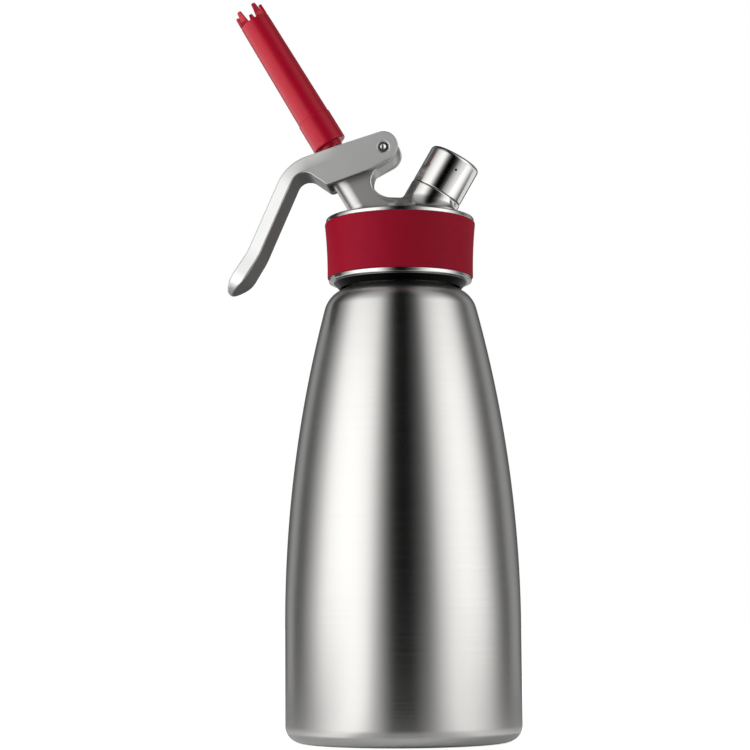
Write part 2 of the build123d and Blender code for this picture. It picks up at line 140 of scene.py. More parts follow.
# Lever
LEVER_W = 20.0
LEVER_END_R = 5.5
LEVER_END_RISE = 0.5
LEVER_GAP = 13.0
LEVER_SLOPE = math.radians(17.7)
WEB_UNDERSIDE = 3.0
SLOT_R = 3.3
SLOT_RUN = 1.7
FORK_U = 7.0
CHANNEL_U = -8.6
HANDLE_TIP_R = 9.2
LEVER_EDGE_R = 0.5
CHANNEL_EDGE_R = 0.4
PIN_R = 1.75
PIN_HEAD_R = 2.6
PIN_EDGE_R = 0.12
LEVER_BEND = (-42.25, 215.6, 17.0)
HANDLE_KNEE = (-56.95, 182.3, 26.0)
HANDLE_SWELL = (-64.1, 171.7, 12.0)
HANDLE_TIP = (-65.7, 167.4, 2.0)
HANDLE_TIP_INNER = (-64.3, 166.05, 0.6)
HANDLE_TOE = (-57.45, 171.2, 12.0)
HANDLE_KNEE_INNER = (-51.85, 180.5, 22.0)
LEVER_CROOK = (-37.2, 214.0, 4.8)
LEVER_HEEL = (-26.6, 206.5, 1.6)
LEVER_BELLY = (-10.6, 212.0, 12.0)
LEVER_CHIN = (-2.75, 216.17, 0.0)
HANDLE_DRAFT = math.tan(math.radians(22.0))
HANDLE_THICK = 4.8
DRAFT_START_X = -22.0
DRAFT_FULL_X = -44.0
BACK_RUN_ON = 12.0
LEVER_BOX_MARGIN = 1.0
LEVER_BOX_RISE = 6.0

# Valve spring
SPRING_FOOT_T = 21.2
SPRING_TOP_T = 35.0
SPRING_R = 3.78
SPRING_WIRE_R = 0.45
SPRING_TURNS = 6.0

# Nozzle, on the stem's top
NOZZLE_SOCKET_R = 2.75
NOZZLE_SOCKET_T = 61.8
NOZZLE_HOLE_R = 1.7
NOZZLE_HOLE_T = 64.5
NOZZLE_CAVITY_R = 4.95
NOZZLE_CAVITY_T = 73.5
NOZZLE_TAPER_END_T = 115.4
NOZZLE_NECK_T = 50.2
NOZZLE_NECK_R = 4.4
NOZZLE_FOOT_T = 51.9
NOZZLE_STEP_T = 64.2
NOZZLE_TIP_T = 114.4
NOZZLE_COLLAR_R = 6.6
NOZZLE_STEP_R = 6.35
NOZZLE_TIP_R = 5.8
NOZZLE_WALL = 1.0
NOZZLE_TEETH = 5
NOZZLE_TOOTH_H = 5.4
NOZZLE_TOOTH_TURN = math.radians(34.0)
NOZZLE_NOTCH_FOOT = math.radians(38.0)
NOZZLE_NOTCH_MOUTH = math.radians(58.0)
CROWN_EDGE_R = 0.16

# Charger stud and cap
STUD_TILT = math.radians(30.0)
STUD_ORIGIN_Z = 180.3
STUD_R = 10.1
STUD_CUT_Z = 189.0
STUD_SHOULDER_T = 27.7
STUD_TOP_T = 38.0
STUD_EDGE_R = 0.5
STUD_ROOT_R = 7.7
STUD_ROOT_FOOT_T = 20.0
STUD_THREAD_R = 8.3
STUD_THREAD_DEPTH = 0.75
STUD_THREAD_PITCH = 1.75
STUD_THREAD_TURNS = 4.4
STUD_THREAD_FOOT_T = 29.1
SOCKET_R = 4.8
SOCKET_FOOT_T = 24.0
PIN_BUSH_R = 3.5
PIN_BUSH_T = 17.0
GAS_BORE_R = 2.9
GAS_BORE_T = 6.5
CAP_R = 9.95
CAP_BORE_R = 8.4
CAP_FOOT_T = 27.8
CAP_TOP_T = 43.2
CAP_ROOF = 1.8
CAP_EDGE_R = 1.6
CAP_VENT_R = 0.45
CAP_VENT_TURN = math.radians(21.0)
CAP_VENT_DROP = 5.6
VENT_DRILL_REACH = 4.0

# Thread ridges: widths as shares of the pitch, and the turns over which both ends run out
THREAD_ROOT_SHARE = 0.72
THREAD_CREST_SHARE = 0.26
THREAD_RUN_OUT = 0.3

# Axes: how far each leans to the right, and the height at which it meets the bottle's own axis
UPRIGHT = (0.0, 0.0)
VALVE_AXIS = (-VALVE_TILT, VALVE_ORIGIN_Z)
STUD_AXIS = (STUD_TILT, STUD_ORIGIN_Z)

# Where the finish of a casting changes: along the height, along X, or as a face turns inwards; the cone
# and the faces turned inwards also get painted shade in their colour
SATIN_Z = (194.7, 195.7)
SATIN_LEAN_Z = (199.5, 201.5)
DULL_SHADED_CONE_Z = (170.4, 170.0)
BRIGHT_HANDLE_X = (-43.0, -30.0)
SHADED_INSIDE_FACING = (0.55, 0.85)
SHADED_INSIDE_X = (-12.0, -9.0)

# Most values of a noise pattern lie in this span
NOISE_SPAN = (0.3, 0.7)

# Fineness of the meshes
TURNED_SEGMENTS = 192
CORNER_POINTS = 15
TAPER_POINTS = 40
SHOULDER_POINTS = 20
SLEEVE_POINTS = 16
CAP_SEGMENTS = 160
DRILL_SEGMENTS = 24
ARC_STEP = math.radians(5.0)
PLATE_ARC_STEP = math.radians(2.0)
LEVER_ARC_STEP = math.radians(1.5)
NOZZLE_ARC_STEP = math.radians(15.0)
TOOTH_COLUMNS = 8
TOOTH_ROWS = 5
NOTCH_COLUMNS = 6
SHARP_ANGLE = math.radians(40.0)
THREAD_SHARP_ANGLE = math.radians(35.0)
CAST_GRID = 0.33


def linear(colour):
    """Linear RGBA of an sRGB hex colour."""
    channels = [int(colour[at : at + 2], 16) / 255 for at in (1, 3, 5)]
    return (*(c / 12.92 if c <= 0.04045 else ((c + 0.055) / 1.055) ** 2.4 for c in channels), 1.0)


def node(tree, kind, inputs=None, **settings):
    """Adds one node with its settings, and sets or links its inputs."""
    made = tree.nodes.new(kind)
    for name, value in settings.items():
        setattr(made, name, value)
    for key, value in (inputs or {}).items():
        if isinstance(value, bpy.types.NodeSocket):
            tree.links.new(value, made.inputs[key])
        else:
            made.inputs[key].default_value = value
    return made


def blank(name):
    """New material with an empty tree."""
    material = bpy.data.materials.new(name)
    material.use_nodes = True
    material.node_tree.nodes.clear()
    return material, material.node_tree


def finish(name, colour, metallic, roughness, sockets=None):
    """New material with one principled shader; returns the material, its tree and the shader."""
    material, tree = blank(name)
    values = {"Base Color": linear(colour), "Metallic": metallic, "Roughness": roughness}
    shader = node(tree, "ShaderNodeBsdfPrincipled", values | (sockets or {}))
    node(tree, "ShaderNodeOutputMaterial", {"Surface": shader.outputs["BSDF"]})
    return material, tree, shader


def grain(tree, size_mm, stretch=(1.0, 1.0, 1.0), turn=(0.0, 0.0, 0.0), detail=3.0):
    """Noise whose features are size_mm across, stretched along the piece's own axes."""
    place = node(tree, "ShaderNodeTexCoord").outputs["Object"]
    size = [size_mm * MM * times for times in stretch]
    mapping = {"Vector": place, "Scale": size, "Rotation": turn}
    mapped = node(tree, "ShaderNodeMapping", mapping, vector_type="TEXTURE").outputs["Vector"]
    noise = {"Vector": mapped, "Scale": 1.0, "Detail": detail, "Roughness": 0.6}
    return node(tree, "ShaderNodeTexNoise", noise).outputs["Fac"]


def roughen(tree, shader, value, low, high):
    """Lets a pattern move the shader's roughness between two values."""
    start, end = NOISE_SPAN
    ends = {"Value": value, "From Min": start, "From Max": end, "To Min": low, "To Max": high}
    spread = node(tree, "ShaderNodeMapRange", ends).outputs["Result"]
    tree.links.new(spread, shader.inputs["Roughness"])


def emboss(tree, shader, value, depth_mm, strength):
    """Lets a pattern raise the surface by depth_mm, as far as its shading goes."""
    relief = {"Height": value, "Distance": depth_mm * MM, "Strength": strength}
    bump = node(tree, "ShaderNodeBump", relief).outputs["Normal"]
    tree.links.new(bump, shader.inputs["Normal"])


def tint(tree, shader, value, dark, light):
    """Lets a pattern move the base colour between two hex colours."""
    colours = {"Factor": value, 6: linear(dark), 7: linear(light)}
    mixed = node(tree, "ShaderNodeMix", colours, data_type="RGBA").outputs[2]
    tree.links.new(mixed, shader.inputs["Base Color"])


def bottle_steel():
    """Deep drawn stainless steel, belt brushed on a lathe: lines run round the body, so lights
    smear up and down and keep their sides. Real lines are 0.05 mm apart, drawn at 0.4 mm to show."""
    sockets = {"Anisotropic": 0.7, "Anisotropic Rotation": 0.25}
    material, tree, shader = finish("brushed_stainless_steel", "#CDCCCA", 1.0, 0.24, sockets)
    lines = grain(tree, 0.4, (180.0, 180.0, 1.0), detail=4.0)
    roughen(tree, shader, lines, 0.21, 0.27)
    emboss(tree, shader, lines, 0.004, 0.25)
    tangent = node(tree, "ShaderNodeTangent", direction_type="RADIAL", axis="Z").outputs["Tangent"]
    tree.links.new(tangent, shader.inputs["Tangent"])
    return material


def head_steel():
    """Investment cast stainless steel: rim, lip and stud buffed bright, with the soft waves and haze of
    hand polishing; tower and arm left satin, so that they go grey with the lever; the cone under the
    lip made rougher, and painted near black as shade."""
    material, tree, shader = finish("polished_cast_steel", "#D4D3D1", 1.0, 0.2)
    haze = grain(tree, 2.5, detail=5.0)
    spot = node(tree, "ShaderNodeTexCoord").outputs["Object"]
    x, _, z = node(tree, "ShaderNodeSeparateXYZ", {"Vector": spot}).outputs
    across = -1.0 / math.tan(STUD_TILT)
    lean = node(tree, "ShaderNodeMath", {0: x, 1: across, 2: z}, operation="MULTIPLY_ADD").outputs[0]
    zones = []
    for way, (start, end) in ((lean, SATIN_LEAN_Z), (z, SATIN_Z), (z, DULL_SHADED_CONE_Z)):
        ends = {"Value": way, "From Min": start * MM, "From Max": end * MM}
        zones.append(node(tree, "ShaderNodeMapRange", ends).outputs["Result"])
    left_of_stud, over_rim, cone = zones
    both = {0: left_of_stud, 1: over_rim}
    satin = node(tree, "ShaderNodeMath", both, operation="MINIMUM").outputs[0]
    # painted shade: the cone under the lip is coloured near black, besides being made rougher
    tint(tree, shader, cone, "#D4D3D1", "#100F0F")
    dull = node(tree, "ShaderNodeMath", {0: satin, 1: cone}, operation="MAXIMUM").outputs[0]
    ends = {"Value": dull, "To Min": 0.12, "To Max": 0.37}
    base = node(tree, "ShaderNodeMapRange", ends).outputs["Result"]
    hazy = {0: haze, 1: 0.06, 2: base}
    rough = node(tree, "ShaderNodeMath", hazy, operation="MULTIPLY_ADD").outputs[0]
    tree.links.new(rough, shader.inputs["Roughness"])
    emboss(tree, shader, grain(tree, 7.0, detail=1.0), 0.02, 0.25)
    return material


def lever_steel():
    """Cast stainless steel: cheeks glass bead blasted to an even satin grey with a fine grain, handle
    brushed up brighter, and the side next to the hand made rougher, with painted shade that darkens its
    colour. Real beads leave 0.1 mm pits, drawn at 0.25 mm to show."""
    material, tree, shader = finish("satin_cast_steel", "#DCDCDB", 1.0, 0.4)
    pits = grain(tree, 0.25, detail=2.0)
    cloud = grain(tree, 6.0, detail=3.0)
    spot = node(tree, "ShaderNodeTexCoord").outputs["Object"]
    x = node(tree, "ShaderNodeSeparateXYZ", {"Vector": spot}).outputs["X"]
    start, end = BRIGHT_HANDLE_X
    along = {"Value": x, "From Min": start * MM, "From Max": end * MM, "To Min": 0.36, "To Max": 0.48}
    base = node(tree, "ShaderNodeMapRange", along).outputs["Result"]
    dull_and_shaded_inside = node(tree, "ShaderNodeAttribute", attribute_name="dull_and_shaded_inside").outputs["Fac"]
    for pattern, amount in ((dull_and_shaded_inside, 0.15), (cloud, 0.08)):
        rougher = {0: pattern, 1: amount, 2: base}
        base = node(tree, "ShaderNodeMath", rougher, operation="MULTIPLY_ADD").outputs[0]
    tree.links.new(base, shader.inputs["Roughness"])
    # painted shade: faces turned inwards are coloured dark grey
    tint(tree, shader, dull_and_shaded_inside, "#DCDCDB", "#7C7B7A")
    emboss(tree, shader, pits, 0.006, 0.2)
    return material


def turned_steel(name, colour, roughness):
    """Machined stainless steel: bright, with the fine turning marks of a lathe tool."""
    material, tree, shader = finish(name, colour, 1.0, roughness)
    marks = grain(tree, 0.6, detail=4.0)
    roughen(tree, shader, marks, roughness * 0.8, roughness * 1.25)
    return material


def cap_steel():
    """Stainless steel cap, turned and polished to a mirror, with a hint of turning rings left."""
    material, tree, shader = finish("polished_turned_steel", "#D6D5D3", 1.0, 0.1)
    rings = grain(tree, 0.35, (40.0, 40.0, 1.0), (0.0, STUD_TILT, 0.0), detail=3.0)
    roughen(tree, shader, rings, 0.08, 0.15)
    emboss(tree, shader, rings, 0.002, 0.2)
    return material


def grip_silicone():
    """Moulded silicone rubber, deep red: matt, with the mould's fine spark eroded grain,
    0.3 mm across."""
    sockets = {"IOR": 1.41, "Specular IOR Level": 0.12}
    material, tree, shader = finish("red_silicone_rubber", "#9A0A26", 0.0, 0.5, sockets)
    skin_grain = grain(tree, 0.3, detail=2.0)
    roughen(tree, shader, skin_grain, 0.46, 0.56)
    emboss(tree, shader, skin_grain, 0.01, 0.2)
    tint(tree, shader, grain(tree, 9.0, detail=3.0), "#940924", "#A20C2A")
    return material


def nozzle_plastic():
    """Injection moulded polyamide, strong red: smooth and half glossy, with lights that take on
    the dye's red, and faint flow marks along the tube."""
    sockets = {"IOR": 1.53, "Specular IOR Level": 1.0, "Specular Tint": linear("#FF9494")}
    material, tree, shader = finish("red_moulded_polyamide", "#B80A2C", 0.0, 0.24, sockets)
    flow = grain(tree, 1.2, (1.0, 1.0, 14.0), (0.0, -VALVE_TILT, 0.0), detail=3.0)
    roughen(tree, shader, flow, 0.2, 0.28)
    emboss(tree, shader, flow, 0.006, 0.2)
    tint(tree, shader, grain(tree, 8.0, detail=3.0), "#B2092A", "#C00C30")
    return material


def seal_rubber():
    """Black nitrile rubber: dull, with talc still in its grain."""
    material, tree, shader = finish("black_nitrile_rubber", "#1C1C1D", 0.0, 0.6)
    dust = grain(tree, 0.5, detail=4.0)
    tint(tree, shader, dust, "#151516", "#2A2A2B")
    roughen(tree, shader, dust, 0.5, 0.7)
    return material


def gasket_silicone():
    """Clear red silicone gasket: soft gloss and a little light inside it."""
    sockets = {"IOR": 1.41, "Subsurface Weight": 0.15, "Subsurface Scale": 0.6 * MM}
    material, tree, shader = finish("red_silicone_gasket", "#B5202E", 0.0, 0.38, sockets)
    roughen(tree, shader, grain(tree, 0.8, detail=3.0), 0.33, 0.45)
    return material


def bush_brass():
    """Turned brass: warm yellow, slightly dulled, with fine tool marks."""
    material, tree, shader = finish("turned_brass", "#C9A45A", 1.0, 0.25)
    marks = grain(tree, 0.5, detail=4.0)
    roughen(tree, shader, marks, 0.2, 0.34)
    tint(tree, shader, grain(tree, 3.0, detail=4.0), "#B8914C", "#CFAE66")
    return material


finishes = {
    "bottle_steel": bottle_steel(),
    "head_steel": head_steel(),
    "grip_silicone": grip_silicone(),
    "lever_steel": lever_steel(),
    "pin_steel": turned_steel("polished_pin_steel", "#CFCECC", 0.16),
    "nozzle_plastic": nozzle_plastic(),
    "cap_steel": cap_steel(),
    "stem_steel": turned_steel("turned_stem_steel", "#C8C7C5", 0.22),
    "spring_steel": turned_steel("drawn_spring_steel", "#B4B3B1", 0.26),
    "seal_rubber": seal_rubber(),
    "gasket_silicone": gasket_silicone(),
    "bush_brass": bush_brass(),
}
for cad_node in cad_nodes.values():
    for held in cad_node.material_slots:
        held.material = finishes[held.material.name.split(".")[0]]


def swing(a, b, angle):
    """Two lengths or directions square to each other, swung by an angle."""
    return a * math.cos(angle) + b * math.sin(angle), b * math.cos(angle) - a * math.sin(angle)


def placed(axis, points):
    """Moves points given as U, Y and T of an axis to where they are."""
    lean, origin_z = axis
    u, y, t = np.asarray(points, float).T
    x, rise = swing(u, t, lean)
    return np.stack((x, y, origin_z + rise), axis=1)


def along_axis(axis, x, z):
    """U and T of an axis at X and Z."""
    lean, origin_z = axis
    return swing(x, z - origin_z, -lean)


def swung(points, turn):
    """Turns points given as U, Y and T about their axis."""
    u, y, t = np.asarray(points, float).T
    return np.stack((*swing(u, y, -turn), t), axis=1)


def parts_of(mesh):
    """Points of a mesh, one to a row, and its faces."""
    points = np.empty(len(mesh.vertices) * 3)
    mesh.vertices.foreach_get("co", points)
    return points.reshape(-1, 3), [list(polygon.vertices) for polygon in mesh.polygons]


PIVOT_X, _, PIVOT_Z = placed(VALVE_AXIS, [(PIVOT_U, 0.0, PIVOT_T)])[0]


def piece(name, points, faces, body, slot, normals=None):
    """New smooth piece from points in millimetres, which rides on a body and has a slot's finish."""
    mesh = bpy.data.meshes.new(name)
    mesh.from_pydata((np.asarray(points) * MM).tolist(), [], [list(face) for face in faces])
    if normals is None:
        shape = bmesh.new()
        shape.from_mesh(mesh)
        bmesh.ops.recalc_face_normals(shape, faces=shape.faces)
        shape.to_mesh(mesh)
        shape.free()
    mesh.polygons.foreach_set("use_smooth", [True] * len(mesh.polygons))
    mesh.materials.append(finishes[slot])
    mesh.update()
    if normals is not None:
        mesh.normals_split_custom_set_from_vertices(np.asarray(normals).tolist())
    made = bpy.data.objects.new(name, mesh)
    bpy.context.scene.collection.objects.link(made)
    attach(made, body)
    return made


def rounded(corners, step=ARC_STEP):
    """Closed outline through (a, b, radius) corners, each corner rounded by its radius."""
    points = []
    for index, (a, b, radius) in enumerate(corners):
        here = np.array((a, b))
        back = np.array(corners[index - 1][:2]) - here
        ahead = np.array(corners[(index + 1) % len(corners)][:2]) - here
        back /= np.linalg.norm(back)
        ahead /= np.linalg.norm(ahead)
        half = math.acos(np.clip(back @ ahead, -1.0, 1.0)) / 2
        if not radius:
            points.append(here)
            continue
        middle = (back + ahead) / np.linalg.norm(back + ahead)
        centre = here + middle * radius / math.sin(half)
        count = max(2, math.ceil((math.pi - 2 * half) / step))
        start = here + back * radius / math.tan(half) - centre
        end = here + ahead * radius / math.tan(half) - centre
        first = math.atan2(start[1], start[0])
        swing = math.atan2(start[0] * end[1] - start[1] * end[0], start @ end)
        for k in range(count + 1):
            angle = first + swing * k / count
            points.append(centre + radius * np.array((math.cos(angle), math.sin(angle))))
    return points


def supported(outline, reach=0.25):
    """Adds a point near both ends of every long straight run of an outline, so that the shading of
    an arc stays on the arc."""
    points = []
    for here, following in zip(outline, outline[1:] + outline[:1]):
        run = np.asarray(following) - np.asarray(here)
        length = np.linalg.norm(run)
        points.append(here)
        if length > 4 * reach:
            points.append(here + run * reach / length)
            points.append(following - run * reach / length)
    return points


def turned(outline, segments=TURNED_SEGMENTS):
    """Points and faces of a closed solid turned about its axis from (radius, height) points."""
    points = []
    rings = []
    angles = (np.arange(segments) + 0.5) * 2 * math.pi / segments
    for radius, height in outline:
        if radius < 1e-6:
            rings.append([len(points)] * segments)
            points.append((0.0, 0.0, height))
        else:
            rings.append(list(range(len(points), len(points) + segments)))
            points.extend((radius * math.cos(a), radius * math.sin(a), height) for a in angles)
    faces = []
    for ring, following in zip(rings, rings[1:] + rings[:1]):
        for k in range(segments):
            after = (k + 1) % segments
            corners = [ring[k], ring[after], following[after], following[k]]
            face = [c for at, c in enumerate(corners) if c != corners[at - 1]]
            if len(set(face)) > 2:
                faces.append(face)
    return points, faces


def arc(centre, radius, start, end, count):
    """Points on an arc, both ends included."""
    angles = np.linspace(start, end, count)
    return [np.add(centre, (radius * math.cos(a), radius * math.sin(a))) for a in angles]


def bottle_wall(inset, floor, neck_r):
    """Points up the bottle's wall, at an inset from its outer surface, from floor to neck."""
    corner = (BOTTLE_R - BASE_CORNER_R, BASE_CORNER_R)
    lean = math.asin((TAPER_END_Z - TAPER_START_Z) / TAPER_ARC_R)
    taper = (BOTTLE_R - TAPER_ARC_R, TAPER_START_Z)
    reach = TAPER_ARC_R - SHOULDER_R
    shoulder = (taper[0] + reach * math.cos(lean), taper[1] + reach * math.sin(lean))
    floor_angle = math.asin((floor - corner[1]) / (BASE_CORNER_R - inset))
    neck_angle = math.acos((neck_r - shoulder[0]) / (SHOULDER_R - inset))
    return (
        arc(corner, BASE_CORNER_R - inset, floor_angle, 0.0, CORNER_POINTS)
        + arc(taper, TAPER_ARC_R - inset, 0.0, lean, TAPER_POINTS)
        + arc(shoulder, SHOULDER_R - inset, lean, neck_angle, SHOULDER_POINTS)[1:]
    )


def make_bottle():
    """Bottle in one skin: outside, rolled rim, inside and recessed base."""
    outside = bottle_wall(0.0, 0.0, NECK_R)
    inside = bottle_wall(BOTTLE_WALL, FLOOR_Z, NECK_BORE_R)
    foot_z = RIM_Z - RIM_RUN
    rim = [(NECK_R, foot_z, 0.0), (NECK_R, RIM_Z, RIM_EDGE_R)]
    rim = rounded([*rim, (NECK_BORE_R, RIM_Z, RIM_EDGE_R), (NECK_BORE_R, foot_z, 0.0)])
    recess = [(0.0, BASE_RECESS, 0.0), (STAND_RING_R - BASE_RECESS, BASE_RECESS, 0.8)]
    ring = [(STAND_RING_R, 0.0, 0.5), (STAND_RING_R + 2.0, 0.0, 0.0), (STAND_RING_R + 2.0, -1.0, 0.0)]
    base = rounded(recess + ring)[:-2]  # the last two only turn the ring's rounding the right way
    outline = base + outside + rim + inside[::-1] + [np.array((0.0, FLOOR_Z))]
    points, faces = turned(supported(outline))
    made = piece("bottle_shell", points, faces, "bottle_body", "bottle_steel")
    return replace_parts(made, "bottle")


def make_grip_sleeve():
    """Silicone ring round the skirt, slightly waisted, with soft edges."""
    levels = (SLEEVE_FOOT_Z, SLEEVE_WAIST_Z, SLEEVE_TOP_Z)
    waist = np.polyfit(levels, (SLEEVE_FOOT_R, SLEEVE_WAIST_R, SLEEVE_TOP_R), 2)
    heights = np.linspace(SLEEVE_FOOT_Z, SLEEVE_TOP_Z, SLEEVE_POINTS)[1:-1]
    outline = rounded(
        [
            (SKIRT_R, SLEEVE_FOOT_Z, 0.2),
            (SLEEVE_FOOT_R, SLEEVE_FOOT_Z, 0.5),
            *((np.polyval(waist, z), z, 0.0) for z in heights),
            (SLEEVE_TOP_R, SLEEVE_TOP_Z, 0.5),
            (SKIRT_R, SLEEVE_TOP_Z, 0.2),
        ]
    )
    points, faces = turned(supported(outline))
    made = piece("grip_ring", points, faces, "head", "grip_silicone")
    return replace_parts(made, "grip_sleeve")


def make_head_skirt():
    """Skirt of the head, with the lip and the cone that show below the sleeve."""
    outline = rounded(
        [
            (SKIRT_BORE_R, SKIRT_FOOT_Z, 0.35),
            (SKIRT_FOOT_R, SKIRT_FOOT_Z, 0.3),
            (CONE_R, LIP_FOOT_Z, 0.3),
            (LIP_R, LIP_FOOT_Z, 0.4),
            (LIP_R, SLEEVE_FOOT_Z, 0.08),
            (SKIRT_R, SLEEVE_FOOT_Z, 0.0),
            (SKIRT_R, SKIRT_TOP_Z, 0.0),
            (SKIRT_BORE_R, SKIRT_TOP_Z, 0.0),
        ]
    )
    points, faces = turned(supported(outline))
    made = piece("head_skirt", points, faces, "head", "head_steel")
    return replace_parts(made, "head_body")


def drum(r, t, radius, foot, top, edge):
    """Distance from a round drum with rounded edges."""
    out = r - (radius - edge)
    up = np.abs(t - (foot + top) / 2) - ((top - foot) / 2 - edge)
    return np.hypot(np.maximum(out, 0), np.maximum(up, 0)) + np.minimum(np.maximum(out, up), 0) - edge


def joined(a, b, fillet):
    """Union of two distances with a hollow fillet between them."""
    hollow = np.hypot(np.maximum(fillet - a, 0), np.maximum(fillet - b, 0))
    return np.maximum(fillet, np.minimum(a, b)) - hollow


def trimmed(a, b, edge):
    """What two distances have in common, with a rounded edge."""
    return -joined(-a, -b, edge)


def common(*distances):
    """What several distances have in common, with sharp edges."""
    return reduce(np.maximum, distances)


def run_gap(start, end, a, b):
    """Squared distance of (a, b) from a straight run."""
    (a0, b0), (a1, b1) = start, end
    run_a, run_b = a1 - a0, b1 - b0
    along = np.clip(((a - a0) * run_a + (b - b0) * run_b) / (run_a**2 + run_b**2), 0, 1)
    return (a - a0 - run_a * along) ** 2 + (b - b0 - run_b * along) ** 2


def path_distance(path, a, b):
    """Distance of (a, b) from an open path."""
    gaps = (run_gap(start, end, a, b) for start, end in zip(path, path[1:]))
    return np.sqrt(reduce(np.minimum, gaps))


def outline_distance(outline, a, b):
    """Signed distance of (a, b) from a closed outline, negative inside."""
    closed = outline + outline[:1]
    sign = 1.0
    for (a0, b0), (a1, b1) in zip(closed, closed[1:]):
        above, below = b >= b0, b < b1
        left = (a1 - a0) * (b - b0) > (b1 - b0) * (a - a0)
        sign = np.where((above & below & left) | ~(above | below | left), -sign, sign)
    return sign * path_distance(closed, a, b)


def slope(distance, points, reach=0.02):
    """Gradient of a distance at points."""
    sides = []
    for axis in range(3):
        step = np.zeros(3)
        step[axis] = reach
        sides.append((distance(*(points + step).T) - distance(*(points - step).T)) / (2 * reach))
    return np.stack(sides, axis=1)


def skin(distance, low, high, grid=CAST_GRID):
    """Points, faces and normals of a cast piece given by its distance. Each grid cell that the
    surface crosses holds one point, which is then moved exactly on to the surface."""
    axes = [np.arange(a - 2 * grid, b + 3 * grid, grid) for a, b in zip(low, high)]
    field = distance(*np.meshgrid(*axes, indexing="ij", sparse=True))
    cells = tuple(n - 1 for n in field.shape)
    total = np.zeros((*cells, 3))
    count = np.zeros(cells)
    quads = []
    for axis in range(3):
        ahead, behind = [slice(None)] * 3, [slice(None)] * 3
        behind[axis], ahead[axis] = slice(None, -1), slice(1, None)
        start, end = field[tuple(behind)], field[tuple(ahead)]
        crossed = (start < 0) != (end < 0)
        edges = np.argwhere(crossed)
        cut = edges.astype(float)
        cut[:, axis] += start[crossed] / (start[crossed] - end[crossed])
        second, third = (axis + 1) % 3, (axis + 2) % 3
        around = []
        for back_second, back_third in ((0, 0), (1, 0), (1, 1), (0, 1)):
            cell = edges.copy()
            cell[:, second] -= back_second
            cell[:, third] -= back_third
            np.add.at(total, tuple(cell.T), cut)
            np.add.at(count, tuple(cell.T), 1)
            around.append(np.ravel_multi_index(tuple(cell.T), cells))
        quad = np.stack(around, axis=1)
        leaving = start[crossed] < 0
        quads.append(np.where(leaving[:, None], quad, quad[:, ::-1]))
    used = np.flatnonzero(count)
    number = np.full(count.size, -1)
    number[used] = np.arange(used.size)
    points = total.reshape(-1, 3)[used] / count.reshape(-1)[used][:, None] * grid
    points += [axis[0] for axis in axes]
    for _ in range(3):
        lean = slope(distance, points)
        steep = np.maximum((lean**2).sum(axis=1), 0.2)
        points -= lean * np.clip(distance(*points.T) / steep, -grid / 2, grid / 2)[:, None]
    normals = slope(distance, points)
    normals /= np.maximum(np.linalg.norm(normals, axis=1), 1e-6)[:, None]
    return points, number[np.concatenate(quads)], normals


def plate_outline():
    """Outline in X and Z of the flat plate through the tower: web across to the stud, with a
    round hollow above it, and arm to the pivot, above a round crook."""

    def at(u, t):
        x, _, z = placed(VALVE_AXIS, [(u, 0.0, t)])[0]
        return x, z

    back_u = TOWER_BACK_U + TOWER_R
    rise = WEB_TOP_Z - VALVE_ORIGIN_Z
    hollow_x = (TOWER_FRONT_U - rise * math.sin(VALVE_TILT)) / math.cos(VALVE_TILT)
    corners = [
        (*at(back_u, TOWER_TOP_T), 0.0),
        (*at(back_u, CHAMBER_TOP_T + PLATE_SINK), 0.0),
        (WEB_FRONT_X, DISC_FOOT_Z + PLATE_SINK, 0.0),
        (WEB_FRONT_X, WEB_TOP_Z, 0.0),
        (hollow_x, WEB_TOP_Z, WEB_HOLLOW_R),
        (*at(TOWER_FRONT_U, ARM_FOOT_T), ARM_CORNER_R),
        (*at(PIVOT_U, ARM_FOOT_T), 0.0),
        (*at(PIVOT_U, PIVOT_T + ARM_TOP_RISE), 0.0),
        (*at(TOWER_FRONT_U - ARM_TOP_SINK, TOWER_TOP_T), 0.0),
    ]
    return [tuple(point) for point in rounded(corners, PLATE_ARC_STEP)]


PLATE_OUTLINE = plate_outline()


